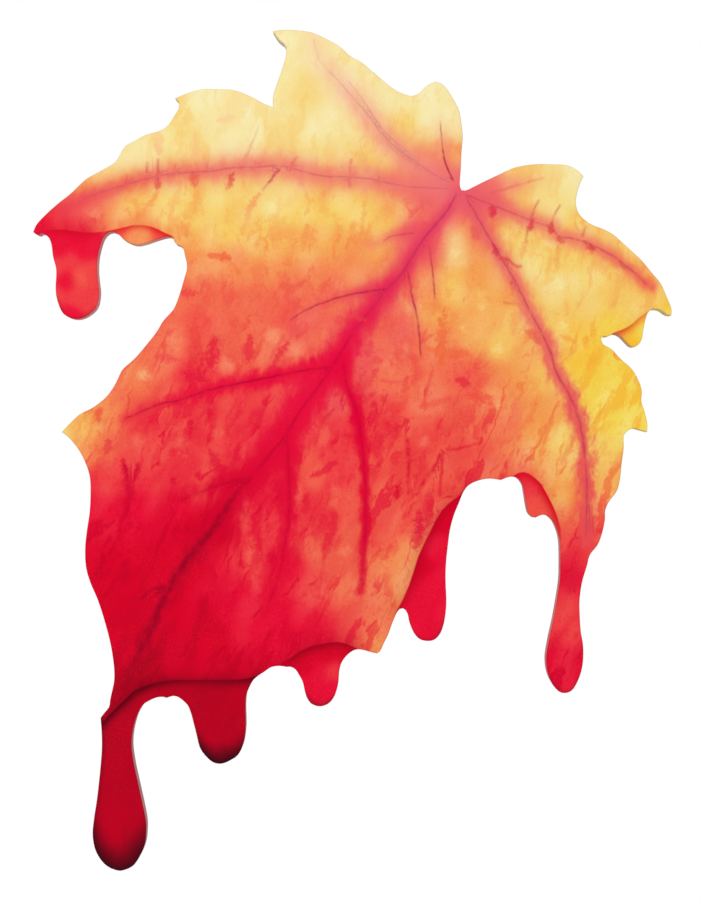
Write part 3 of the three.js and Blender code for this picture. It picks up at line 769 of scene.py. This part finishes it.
def dabsOver(sheet):
    reach, strength, tint = blankLayers(sheet, facePaint["dabLimit"])
    for path, widths, strengths, paint in dabs:
        near, distance, along, _ = alongPath(sheet, path, facePaint["dabReach"])
        taper = 0.5 + 0.5 * np.sin(np.pi * along) ** facePaint["dabTaper"]
        away = distance / (spreadOver(along, widths) * taper * facePaint["dabScale"])
        closer = away < reach[near]
        near = near[closer]
        reach[near] = away[closer]
        strength[near] = spreadOver(along, strengths)[closer]
        tint[near] = paint
    return reach, strength, tint


def dripShadeOver(sheet):
    shade = np.zeros(len(sheet))
    for path, widths, strengths in dripShades:
        near, distance, along, _ = alongPath(sheet, path, facePaint["shadeReach"])
        falloff = np.exp(-(distance / spreadOver(along, widths)) ** 2 * facePaint["shadeFall"])
        shade[near] = np.maximum(shade[near], spreadOver(along, strengths) * falloff)
    return shade


def foldsOver(sheet):
    # distance is positive on the sheet below the fold and negative on the one above
    across, dark, tint = blankLayers(sheet, -facePaint["farAway"])
    soft = np.full(len(sheet), facePaint["foldSoft"])
    lift = np.zeros(len(sheet))
    for fold in folds:
        near, distance, along, _ = alongPath(sheet, fold["edge"], facePaint["foldReach"], smooth=False)
        inside = insideArea(sheet[near], fold["edge"] + fold["below"])
        wanted = inside | (distance < np.abs(across[near])) & (across[near] < 0)
        near = near[wanted]
        across[near] = np.where(inside, distance, -distance)[wanted]
        dark[near] = spreadOver(along, fold["dark"])[wanted]
        soft[near] = fold["soft"]
        lift[near] = fold["lift"]
        tint[near] = fold["paint"]
    return np.clip(across, -facePaint["foldLimit"], facePaint["foldLimit"]), dark, soft, lift, tint


def dropsOver(sheet):
    amount = np.zeros(len(sheet))
    for x, z, wide, tall, strength in paleDrops:
        reach = ((sheet[:, 0] - x) / wide) ** 2 + ((sheet[:, 1] - z) / tall) ** 2
        amount = np.maximum(amount, strength * np.exp(-reach * facePaint["dropFall"]))
    return amount


def rimDistance(sheet, rimPath):
    nearest = np.full(len(sheet), np.inf)
    batch = 64
    for start in range(0, len(rimPath), batch):
        corners = rimPath[start:start + batch]
        gap = ((sheet[:, None, :] - corners[None]) ** 2).sum(2).min(1)
        nearest = np.minimum(nearest, gap)
    return np.minimum(np.sqrt(nearest), facePaint["rimReach"])


def keepLayer(mesh, name, values):
    # rows of three are paints, single values are numbers
    if np.ndim(values) == 2:
        colours = np.ones((len(values), 4), np.float32)
        colours[:, :3] = linearPaint(values)
        layer = mesh.attributes.new(name, "FLOAT_COLOR", "POINT")
        layer.data.foreach_set("color", colours.ravel())
    else:
        layer = mesh.attributes.new(name, "FLOAT", "POINT")
        layer.data.foreach_set("value", np.asarray(values, np.float32))


def layPaint(mesh, rimPath):
    places = np.empty(len(mesh.vertices) * 3)
    mesh.vertices.foreach_get("co", places)
    places = places.reshape(-1, 3) / mm
    sheet = np.ascontiguousarray(places[:, [0, 2]])
    layers = (
        (faceLayers, washOver(sheet, facePlaces, facePaint["spread"])),
        (underLayers, washOver(sheet, underPlaces, facePaint["underSpread"])),
        (("glow", "glowPaint"), glowOver(sheet)),
        (("lineAcross", "lineStrength", "linePaint"), linesOver(sheet)),
        (("foldAcross", "foldDark", "foldSoft", "foldLift", "foldPaint"), foldsOver(sheet)),
        (("dabReach", "dabStrength", "dabPaint"), dabsOver(sheet)),
        (("dripShade", "drop"), (dripShadeOver(sheet), dropsOver(sheet))),
        (("rim",), (rimDistance(sheet, rimPath),)),
    )
    for names, results in layers:
        for name, values in zip(names, results):
            keepLayer(mesh, name, values)


# Shaping the board.
def splitBoard(depth, keepFront):
    # a copy of the board, cut flat at this depth and closed, with only one side of the cut kept
    shape = bmesh.new()
    shape.from_mesh(frame["nodes"]["board"].data)
    bmesh.ops.remove_doubles(shape, verts=shape.verts, dist=1e-6)
    everything = shape.verts[:] + shape.edges[:] + shape.faces[:]
    cut = bmesh.ops.bisect_plane(
        shape, geom=everything, plane_co=(0, depth, 0), plane_no=(0, 1, 0), dist=1e-7,
        clear_outer=keepFront, clear_inner=not keepFront)
    rim = [item for item in cut["geom_cut"] if isinstance(item, bmesh.types.BMEdge)]
    bmesh.ops.holes_fill(shape, edges=rim, sides=0)
    return shape


def sliceAcross(shape, faces, axis, step):
    # parallel cuts, each only through the faces that reach past the one before
    places = [vert.co[axis] for face in faces for vert in face.verts]
    level = min(places) + step
    highest = max(places)
    waiting = set(faces)
    done = []
    while level < highest:
        point = [0.0, 0.0, 0.0]
        normal = [0.0, 0.0, 0.0]
        point[axis] = level
        normal[axis] = 1.0
        geometry = set(waiting)
        for face in waiting:
            geometry.update(face.edges)
            geometry.update(face.verts)
        cut = bmesh.ops.bisect_plane(
            shape, geom=list(geometry), plane_co=point, plane_no=normal, dist=1e-7)
        waiting = set()
        for face in cut["geom"]:
            if not isinstance(face, bmesh.types.BMFace):
                continue
            if max(vert.co[axis] for vert in face.verts) > level + 1e-6:
                waiting.add(face)
            else:
                done.append(face)
        level += step
    return done + list(waiting)


def gridOver(shape, faces, step):
    strips = sliceAcross(shape, faces, 0, step * mm)
    sliceAcross(shape, strips, 2, step * mm)


def finishPiece(shape, name, material, rimPath):
    bmesh.ops.recalc_face_normals(shape, faces=shape.faces)
    mesh = bpy.data.meshes.new(name)
    shape.to_mesh(mesh)
    shape.free()
    mesh.shade_smooth()
    mesh.set_sharp_from_angle(angle=math.radians(facePaint["smoothBelow"]))
    mesh.materials.append(material)
    piece = bpy.data.objects.new(name, mesh)
    bpy.context.scene.collection.objects.link(piece)
    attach(piece, "root")
    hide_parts("board")
    layPaint(mesh, rimPath)
    print(name, "made,", len(mesh.polygons), "faces")


def makeFace(material):
    arris = facePaint["arris"] * mm
    shape = splitBoard(boardLow.y + arris, keepFront=True)
    flat = [face for face in shape.faces if face.normal.y < -0.99]
    front = bmesh.ops.dissolve_faces(shape, faces=flat, use_verts=False)["region"][0]
    rimPath = np.array([(vert.co.x / mm, vert.co.z / mm) for vert in front.verts])
    bmesh.ops.bevel(
        shape, geom=list(front.edges), offset=arris, offset_type="OFFSET", affect="EDGES",
        segments=facePaint["arrisSteps"], profile=0.5, clamp_overlap=False, material=-1)
    front = max((f for f in shape.faces if f.normal.y < -0.99), key=lambda face: face.calc_area())
    gridOver(shape, [front], facePaint["gridStep"])
    finishPiece(shape, "painted_face", material, rimPath)
    return rimPath


def makeBody(material, rimPath):
    shape = splitBoard(boardLow.y + facePaint["arris"] * mm, keepFront=False)
    back = [face for face in shape.faces
            if face.normal.y > 0.99 and face.calc_center_median().y > -1e-5]
    gridOver(shape, back, bodyFinish["gridStep"])
    finishPiece(shape, "board_body", material, rimPath)


# Noise patterns: size in mm, detail, roughness and distortion.
clouds = {
    "drift": (1.0, 2.5, 0.55, 0.0), "blots": (40.0, 3.0, 0.55, 0.2), "strokes": (15.0, 3.5, 0.58, 0.15),
    "bunches": (44.0, 2.0, 0.5, 0.0), "twigs": (24.0, 3.0, 0.5, 0.3), "twigPatches": (24.0, 3.0, 0.5, 0.0),
    "webGaps": (15.0, 3.0, 0.6, 0.0), "speckle": (2.0, 2.0, 0.7, 0.0), "sheen": (38.0, 3.0, 0.55, 0.0),
    "fibre": (1.6, 3.0, 0.6, 0.0), "fine": (9.0, 4.0, 0.62, 0.0), "flecks": (4.0, 4.0, 0.7, 0.0),
    "mottle": (5.0, 4.0, 0.7, 0.0), "dust": (2.4, 2.0, 0.6, 0.0), "feather": (10.0, 4.0, 0.62, 0.0),
    "ragged": (4.0, 4.0, 0.65, 0.0), "dryPatches": (46.0, 2.0, 0.5, 0.0), "wobble": (7.0, 2.0, 0.6, 0.0),
    "broken": (9.0, 3.0, 0.65, 0.0), "saw": (1.3, 2.0, 0.6, 0.0), "thin": (6.0, 3.0, 0.6, 0.0),
    "grain": (3.4, 4.0, 0.62, 0.6), "bands": (18.0, 3.0, 0.5, 1.2), "rimDrift": (9.0, 3.0, 0.65, 0.0),
    "brushed": (0.35, 3.0, 0.6, 0.0), "dull": (5.0, 3.0, 0.6, 0.0), "floor": (160.0, 3.0, 0.55, 0.0),
}
# Ranges read from a value, and what they turn into where that isn't 0 to 1.
ranges = {
    "ridge": (0.0, 0.045, 1.0, 0.0), "bubble": (0.14, 0.62, 1.0, 0.0), "cellEdge": (0.42, 0.72),
    "speckle": (0.52, 0.68), "sheen": (0.3, 0.7, 0.44, 0.60, "LINEAR"), "running": (20.0, -160.0),
    "under": (-0.7, 0.7), "drop": (0.2, 0.85), "flecks": (0.52, 0.7, 0.0, 0.3), "mottle": (0.5, 0.68, 0.0),
    "mottleHeight": (60.0, -60.0, 0.3, 1.0), "paleDust": (0.52, 0.72, 0.0), "deepDust": (0.48, 0.3, 0.0),
    "crisp": (0.12, 0.82), "dab": (0.05, 0.95), "dryPatches": (0.38, 0.62),
    "dryHeight": (110.0, -40.0, 0.3, 1.0), "broken": (0.3, 0.6, 0.45, 1.0), "rim": (0.0, 1.6, 0.22, 0.0),
    "saw": (0.35, 0.7, 0.0, 0.3), "thin": (0.52, 0.75, 0.0, 0.35), "bands": (0.3, 0.7),
    "grain": (0.48, 0.72, 0.0, 0.75), "overspray": (-4.0, 3.0, 0.85, 0.0), "facing": (0.5, 0.8),
    "dull": (0.4, 0.7), "brushed": (0.3, 0.7), "floor": (0.3, 0.7),
}
# How much a pattern's height is shrunk before it is read, which draws it out.
flows = {"strokes": 0.5, "mottle": 0.7, "feather": 0.5, "fibre": 0.16, "grain": 0.045, "brushed": 0.06}
# Level at which each wet mark starts, and how soft its edge is.
levels = {
    "blots": (0.55, 1.6), "strokes": (0.56, 1.0), "bunches": (0.46, 1.6), "twigPatches": (0.53, 1.4),
    "webGaps": (0.51, 1.4),
}
bubbleCells = {"size": 27.0, "softness": 0.3}


# Shared effects.
def makeSheetPlace():
    # place on the sheet in mm, also pulled about by soft noise so that painted edges wander
    group, entry, leave = newGroup(
        "sheet place", [("Wander", "number", 5.0), ("Size", "number", 16.0)],
        [("Place", "vector"), ("Loose", "vector")])
    where = group.nodes.new("ShaderNodeTexCoord").outputs["Object"]
    place = vectorCalc(group, "SCALE", where, scale=1 / mm)
    drift = cloud(group, vectorCalc(group, "DIVIDE", place, entry["Size"]), "drift", colour=True)
    drift = vectorCalc(group, "SUBTRACT", drift, (0.5, 0.5, 0.5))
    pushed = vectorCalc(group, "SCALE", drift, scale=entry["Wander"])
    setInputs(group, leave, {"Place": place, "Loose": vectorCalc(group, "ADD", place, pushed)})
    return group


def makeWateryMarks():
    # soft blots, brush strokes, stray twigs, pale bubbles and the web between them, left by wet paint
    group, entry, leave = newGroup(
        "watery marks",
        [("Place", "vector", None), ("Lean", "number", 0.4), ("Stretch", "number", 1.0),
         ("Edge", "number", 0.04)],
        [(name, "number") for name in markNames])

    def soft(where, name, shift=None):
        level, wide = levels[name]
        if shift is not None:
            where = vectorCalc(group, "ADD", where, shift)
        half = times(group, entry["Edge"], wide)
        value = cloud(group, where, name)
        return ramp(group, value, minus(group, level, half), plus(group, level, half))

    turn = group.nodes.new("ShaderNodeVectorRotate")
    turn.rotation_type = "Y_AXIS"
    setInputs(group, turn, {"Vector": entry["Place"], "Angle": entry["Lean"]})
    squeeze = group.nodes.new("ShaderNodeCombineXYZ")
    setInputs(group, squeeze, {"X": 1.0, "Y": 1.0, "Z": entry["Stretch"]})
    place = vectorCalc(group, "MULTIPLY", turn.outputs[0], squeeze.outputs[0])
    drawn = stretched(group, place, "strokes")
    ridge = calc(group, "ABSOLUTE", centred(group, drawn, "twigs"))
    ridge = ramp(group, ridge, *ranges["ridge"])
    cell = cells(group, place, **bubbleCells)
    setInputs(group, leave, {
        "Blots": soft(place, "blots"),
        "Strokes": times(group, soft(drawn, "strokes"), soft(place, "bunches", (30, 70, 50))),
        "Twigs": times(group, ridge, soft(place, "twigPatches", (90, 40, 10))),
        "Bubbles": ramp(group, cell, *ranges["bubble"]),
        "Web": times(group, ramp(group, cell, *ranges["cellEdge"]), soft(place, "webGaps"))})
    return group


def makePaintSkin():
    # grain of the sanded board under its finish: fine speckle for colour, roughness and height
    group, entry, leave = newGroup(
        "paint skin", [("Place", "vector", None)],
        [("Speckle", "number"), ("Rough", "number"), ("Height", "number")])
    speckle = cloud(group, entry["Place"], "speckle")
    sheen = cloud(group, entry["Place"], "sheen")
    fibre = cloud(group, stretched(group, entry["Place"], "fibre"), "fibre")
    setInputs(group, leave, {
        "Speckle": ramp(group, speckle, *ranges["speckle"]),
        "Rough": ramp(group, sheen, *ranges["sheen"]),
        "Height": plus(group, times(group, fibre, 0.6), times(group, speckle, 0.4))})
    return group


markNames = ("Blots", "Strokes", "Twigs", "Bubbles", "Web")
faceFinish = {
    "wander": 8.0, "wanderSize": 14.0, "Blots": 0.45, "Strokes": 0.92, "Twigs": 0.9, "Web": 0.7,
    "Bubbles": 0.55, "mottle": 0.42, "upperEdge": 0.065, "lowerEdge": 0.045, "upperLean": -0.15,
    "lowerLean": -0.42, "upperFlow": 0.85, "lowerFlow": 0.5, "upperMarks": 0.68, "underMarks": 0.35,
    "dust": 0.2, "featherAbove": 2.4, "featherBelow": 9.0, "crispAbove": 0.15, "crispBelow": 0.55,
    "dabRagged": 3.4, "dabFine": 2.4, "dabFall": 0.9, "speckle": 0.05, "specklePaint": (246, 110, 110),
    "lineWobble": 2.2, "lineFall": 0.7, "aboveFall": 7.0, "dripShade": 0.97, "dripPaint": (38, 6, 20),
    # arrisShadePaint is the colour of the painted shade along the arris
    "arrisShadePaint": (150, 70, 60), "gloss": 0.03, "grain": 0.12, "grainDepth": 0.6,
}


def wetMarks(tree, loose, running, wateryMarks):
    # below the middle the wet paint ran downwards, so the marks are drawn out
    upper, lower = (
        useGroup(tree, wateryMarks, Place=loose, Lean=faceFinish[part + "Lean"],
                 Stretch=faceFinish[part + "Flow"], Edge=faceFinish[part + "Edge"])
        for part in ("upper", "lower"))
    return {name: mixNumber(tree, running, upper[name], lower[name]) for name in markNames}


def washColour(tree, place, loose, height, running, under, fine, wateryMarks):
    marks = wetMarks(tree, loose, running, wateryMarks)
    pale, colour, deep = (
        blend(tree, under, painted(tree, face), painted(tree, below))
        for face, below in zip(faceLayers, underLayers))
    quiet = mixNumber(tree, under, 1.0, faceFinish["underMarks"])

    drop = ramp(tree, plus(tree, measured(tree, "drop"), fine), *ranges["drop"])
    flecks = ramp(tree, cloud(tree, loose, "flecks"), *ranges["flecks"])
    bubbles = largest(tree, times(tree, marks["Bubbles"], faceFinish["Bubbles"]), drop, flecks)
    colour = blend(tree, times(tree, bubbles, quiet), colour, pale)

    stain = largest(tree, *(
        times(tree, marks[name], faceFinish[name]) for name in ("Blots", "Strokes", "Twigs", "Web")))
    stain = times(tree, stain, minus(tree, 1.0, drop))
    # small pigment mottle, stronger from the middle of the leaf down
    mottle = cloud(tree, stretched(tree, loose, "mottle"), "mottle")
    mottle = ramp(tree, mottle, *ranges["mottle"], faceFinish["mottle"])
    mottle = times(tree, mottle, ramp(tree, height, *ranges["mottleHeight"]))
    less = mixNumber(tree, running, faceFinish["upperMarks"], 1.0)
    colour = blend(tree, times(tree, largest(tree, stain, mottle), less, quiet), colour, deep)

    # fine dust of paint, lighter and darker
    dust = cloud(tree, place, "dust")
    colour = blend(tree, ramp(tree, dust, *ranges["paleDust"], faceFinish["dust"]), colour, pale)
    return blend(tree, ramp(tree, dust, *ranges["deepDust"], faceFinish["dust"]), colour, deep)


def withGlow(tree, colour, loose, running, onTop):
    # vein glow, its edges feathered by the wet paint and crisper lower down
    glow = measured(tree, "glow")
    feather = centred(tree, stretched(tree, loose, "feather"), "feather")
    amount = mixNumber(tree, running, faceFinish["featherAbove"], faceFinish["featherBelow"])
    room = times(tree, glow, minus(tree, 1.0, glow), amount)
    glow = calc(tree, "MULTIPLY_ADD", feather, room, glow, clamp=True)
    crisp = mixNumber(tree, running, faceFinish["crispAbove"], faceFinish["crispBelow"])
    glow = mixNumber(tree, crisp, glow, ramp(tree, glow, *ranges["crisp"]))
    return blend(tree, times(tree, glow, onTop), colour, painted(tree, "glowPaint"))


def withDabs(tree, colour, place, fine, onTop):
    # dabs of a fuller brush, their edges broken by the wet paint
    ragged = times(tree, centred(tree, place, "ragged"), faceFinish["dabRagged"])
    ragged = plus(tree, ragged, times(tree, fine, faceFinish["dabFine"]))
    reach = largest(tree, plus(tree, ragged, measured(tree, "dabReach")), 0.0)
    dab = ramp(tree, bell(tree, reach, faceFinish["dabFall"]), *ranges["dab"])
    dab = times(tree, dab, measured(tree, "dabStrength"), onTop)
    return blend(tree, dab, colour, painted(tree, "dabPaint"))


def withSpeckle(tree, colour, place, height, speckle):
    # pale speckle in dry patches, stronger lower down
    patches = ramp(tree, cloud(tree, place, "dryPatches"), *ranges["dryPatches"])
    fading = ramp(tree, height, *ranges["dryHeight"])
    speckle = times(tree, speckle, patches, fading, faceFinish["speckle"])
    return blend(tree, speckle, colour, paintValue(faceFinish["specklePaint"]))


def withLines(tree, colour, place, onTop):
    wobble = times(tree, centred(tree, place, "wobble"), faceFinish["lineWobble"])
    line = bell(tree, plus(tree, measured(tree, "lineAcross"), wobble), faceFinish["lineFall"])
    broken = ramp(tree, cloud(tree, place, "broken"), *ranges["broken"])
    line = times(tree, line, measured(tree, "lineStrength"), broken, onTop)
    return blend(tree, line, colour, painted(tree, "linePaint"))


def withFolds(tree, colour, under, onTop):
    # shade below each fold, and the thin dark edge of the sheet above it
    across = measured(tree, "foldAcross")
    depth = calc(tree, "DIVIDE", largest(tree, across, 0.0), measured(tree, "foldSoft"))
    below = times(tree, bell(tree, depth, 1.0), under)
    above = calc(tree, "EXPONENT", calc(tree, "DIVIDE", across, faceFinish["aboveFall"]))
    above = times(tree, calc(tree, "MINIMUM", above, 1.0), onTop)
    for part, amount in ((below, "foldDark"), (above, "foldLift")):
        shade = calc(tree, "MULTIPLY", part, measured(tree, amount), clamp=True)
        colour = blend(tree, shade, colour, painted(tree, "foldPaint"))
    return colour


def makeFaceMaterial(sheetPlace, wateryMarks, paintSkin):
    material, tree, shader = newMaterial("airbrushed paint")
    where = useGroup(tree, sheetPlace, Wander=faceFinish["wander"], Size=faceFinish["wanderSize"])
    place = where["Place"]
    loose = where["Loose"]
    height = axisOf(tree, place, "Z")
    running = ramp(tree, height, *ranges["running"])
    under = ramp(tree, measured(tree, "foldAcross"), *ranges["under"])
    onTop = minus(tree, 1.0, under)
    fine = centred(tree, loose, "fine")
    skin = useGroup(tree, paintSkin, Place=place)

    colour = washColour(tree, place, loose, height, running, under, fine, wateryMarks)
    colour = withGlow(tree, colour, loose, running, onTop)
    colour = withDabs(tree, colour, place, fine, onTop)
    colour = withSpeckle(tree, colour, place, height, skin["Speckle"])
    colour = withLines(tree, colour, place, onTop)
    colour = withFolds(tree, colour, under, onTop)
    drips = times(tree, measured(tree, "dripShade"), faceFinish["dripShade"])
    colour = blend(tree, drips, colour, paintValue(faceFinish["dripPaint"]))
    # painted shade: the face is darkened along the arris, a thin dark outline at the edge
    rim = ramp(tree, measured(tree, "rim"), *ranges["rim"])
    colour = blend(tree, rim, colour, paintValue(faceFinish["arrisShadePaint"]), "MULTIPLY")
    setInputs(tree, shader, {"Base Color": colour, "Roughness": skin["Rough"]})
    shader.inputs["Specular IOR Level"].default_value = faceFinish["gloss"]
    addBump(tree, shader, skin["Height"], faceFinish["grain"], faceFinish["grainDepth"])
    return material


bodyFinish = {
    "gridStep": 9.0, "wander": 4.0, "wanderSize": 20.0, "glow": 0.8, "edgePaint": (176, 158, 160),
    "edgeShare": 0.5, "sawMark": (96, 70, 76), "worn": (206, 170, 150), "wood": (214, 182, 138),
    "darkBand": (202, 166, 120), "grainWood": (182, 142, 96), "overspray": 7.0, "sprayDrift": 1.6,
    "sprayPaint": (150, 90, 80), "sprayShare": 0.15, "sawFlow": (1.0, 0.02, 1.0), "gloss": 0.25,
    "relief": 0.35, "reliefDepth": 0.25,
}


def edgeColour(tree, place, saw):
    under = ramp(tree, measured(tree, "foldAcross"), *ranges["under"])
    edge = blend(tree, under, painted(tree, "midPaint"), painted(tree, "underMid"))
    glow = times(tree, measured(tree, "glow"), bodyFinish["glow"])
    edge = blend(tree, glow, edge, painted(tree, "glowPaint"))
    edge = blend(tree, bodyFinish["edgeShare"], edge, paintValue(bodyFinish["edgePaint"]))
    edge = blend(tree, ramp(tree, saw, *ranges["saw"]), edge, paintValue(bodyFinish["sawMark"]))
    worn = ramp(tree, cloud(tree, place, "thin"), *ranges["thin"])
    return blend(tree, worn, edge, paintValue(bodyFinish["worn"]))


def backColour(tree, place, grainPlace, grain):
    bands = ramp(tree, cloud(tree, grainPlace, "bands"), *ranges["bands"])
    wood = blend(tree, bands, paintValue(bodyFinish["wood"]), paintValue(bodyFinish["darkBand"]))
    streaks = ramp(tree, grain, *ranges["grain"])
    wood = blend(tree, streaks, wood, paintValue(bodyFinish["grainWood"]))
    reach = bodyFinish["overspray"] * bodyFinish["sprayDrift"]
    rim = minus(tree, measured(tree, "rim"), times(tree, cloud(tree, place, "rimDrift"), reach))
    spray = paintValue(bodyFinish["sprayPaint"])
    spray = blend(tree, bodyFinish["sprayShare"], painted(tree, "midPaint"), spray)
    return blend(tree, ramp(tree, rim, *ranges["overspray"]), wood, spray)


def makeBodyMaterial(sheetPlace, paintSkin):
    # painted sawn edge, and sealed bare wood on the back with overspray round its rim
    material, tree, shader = newMaterial("sawn edge and bare back")
    where = useGroup(tree, sheetPlace, Wander=bodyFinish["wander"], Size=bodyFinish["wanderSize"])
    place = where["Place"]
    skin = useGroup(tree, paintSkin, Place=place)
    # saw marks run through the thickness, grain runs up the board
    saw = cloud(tree, vectorCalc(tree, "MULTIPLY", place, bodyFinish["sawFlow"]), "saw")
    grainPlace = stretched(tree, where["Loose"], "grain")
    grain = cloud(tree, grainPlace, "grain")
    normal = tree.nodes.new("ShaderNodeNewGeometry").outputs["Normal"]
    back = ramp(tree, axisOf(tree, normal, "Y"), *ranges["facing"])
    wood = backColour(tree, place, grainPlace, grain)
    colour = blend(tree, back, edgeColour(tree, place, saw), wood)
    setInputs(tree, shader, {"Base Color": colour, "Roughness": skin["Rough"]})
    shader.inputs["Specular IOR Level"].default_value = bodyFinish["gloss"]
    relief = mixNumber(tree, back, saw, grain)
    addBump(tree, shader, relief, bodyFinish["relief"], bodyFinish["reliefDepth"])
    return material


hangerFinish = {
    "wander": 1.0, "wanderSize": 8.0, "relief": 0.2, "reliefDepth": 0.08,
    "hanger_steel": {"light": (196, 199, 204), "dark": (128, 132, 138), "rough": (0.28, 0.48)},
    "screw_steel": {"light": (214, 184, 104), "dark": (150, 112, 52), "rough": (0.26, 0.44)},
}


def makeScuffs():
    # brushed lines and dull patches on plated steel
    group, entry, leave = newGroup(
        "plated scuffs", [("Place", "vector", None)], [("Brushed", "number"), ("Dull", "number")])
    setInputs(group, leave, {
        "Brushed": cloud(group, stretched(group, entry["Place"], "brushed"), "brushed"),
        "Dull": ramp(group, cloud(group, entry["Place"], "dull"), *ranges["dull"])})
    return group


def makeMetal(slotName, sheetPlace, scuffs):
    finish = hangerFinish[slotName]
    material, tree, shader = newMaterial(slotName.replace("_", " "))
    where = useGroup(tree, sheetPlace, Wander=hangerFinish["wander"], Size=hangerFinish["wanderSize"])
    marks = useGroup(tree, scuffs, Place=where["Place"])
    setInputs(tree, shader, {
        "Base Color": blend(tree, marks["Dull"], paintValue(finish["light"]), paintValue(finish["dark"])),
        "Roughness": ramp(tree, marks["Brushed"], *ranges["brushed"], *finish["rough"], "LINEAR"),
        "Metallic": 1.0})
    addBump(tree, shader, marks["Brushed"], hangerFinish["relief"], hangerFinish["reliefDepth"])
    return material


def dressMetals(sheetPlace, scuffs):
    # the hangers and screws keep their meshes and only get a finish
    metals = {name: makeMetal(name, sheetPlace, scuffs) for name in ("hanger_steel", "screw_steel")}
    for row in frame["record"]["subparts"]:
        metal = metals.get(row["material_slot"])
        if metal is None:
            continue
        node = frame["nodes"][row["node"]]
        if not node.data.materials:
            node.data.materials.append(metal)
        for place in node.material_slots:
            place.material = metal


# Studio.
def makeFloor():
    shape = bmesh.new()
    bmesh.ops.create_circle(
        shape, cap_ends=True, segments=studio["floorSides"], radius=studio["floorRadius"])
    bmesh.ops.translate(shape, verts=shape.verts, vec=(0, 0, boardLow.z - studio["floorDrop"]))
    mesh = bpy.data.meshes.new("floor")
    shape.to_mesh(mesh)
    shape.free()
    material, tree, shader = newMaterial("pale floor")
    where = tree.nodes.new("ShaderNodeTexCoord").outputs["Object"]
    place = vectorCalc(tree, "SCALE", where, scale=1 / mm)
    shade = ramp(tree, cloud(tree, place, "floor"), *ranges["floor"])
    light = (*studio["floorColour"], 1.0)
    dark = (*[v * studio["floorPatch"] for v in studio["floorColour"]], 1.0)
    setInputs(tree, shader, {
        "Base Color": blend(tree, shade, light, dark), "Roughness": studio["floorRough"]})
    shader.inputs["Specular IOR Level"].default_value = studio["floorGloss"]
    mesh.materials.append(material)
    floor = bpy.data.objects.new("floor", mesh)
    bpy.context.scene.collection.objects.link(floor)


def lightStudio():
    softLight("key")
    softLight("fill")
    world = bpy.data.worlds.new("studio")
    world.use_nodes = True
    tree = world.node_tree
    ray = tree.nodes.new("ShaderNodeLightPath")
    strength = mixNumber(tree, ray.outputs["Is Glossy Ray"], studio["ambient"], studio["glossAmbient"])
    strength = mixNumber(tree, ray.outputs["Is Camera Ray"], strength, studio["backdrop"])
    setInputs(tree, tree.nodes["Background"], {"Color": (1.0, 1.0, 1.0, 1.0), "Strength": strength})
    bpy.context.scene.world = world
    bpy.context.scene.view_settings.view_transform = "Standard"


placeCamera()
lightStudio()
makeFloor()
print("camera, lights and floor placed")

sheetPlace = makeSheetPlace()
paintSkin = makePaintSkin()
rimPath = makeFace(makeFaceMaterial(sheetPlace, makeWateryMarks(), paintSkin))
makeBody(makeBodyMaterial(sheetPlace, paintSkin), rimPath)
dressMetals(sheetPlace, makeScuffs())
print("hangers and screws finished")
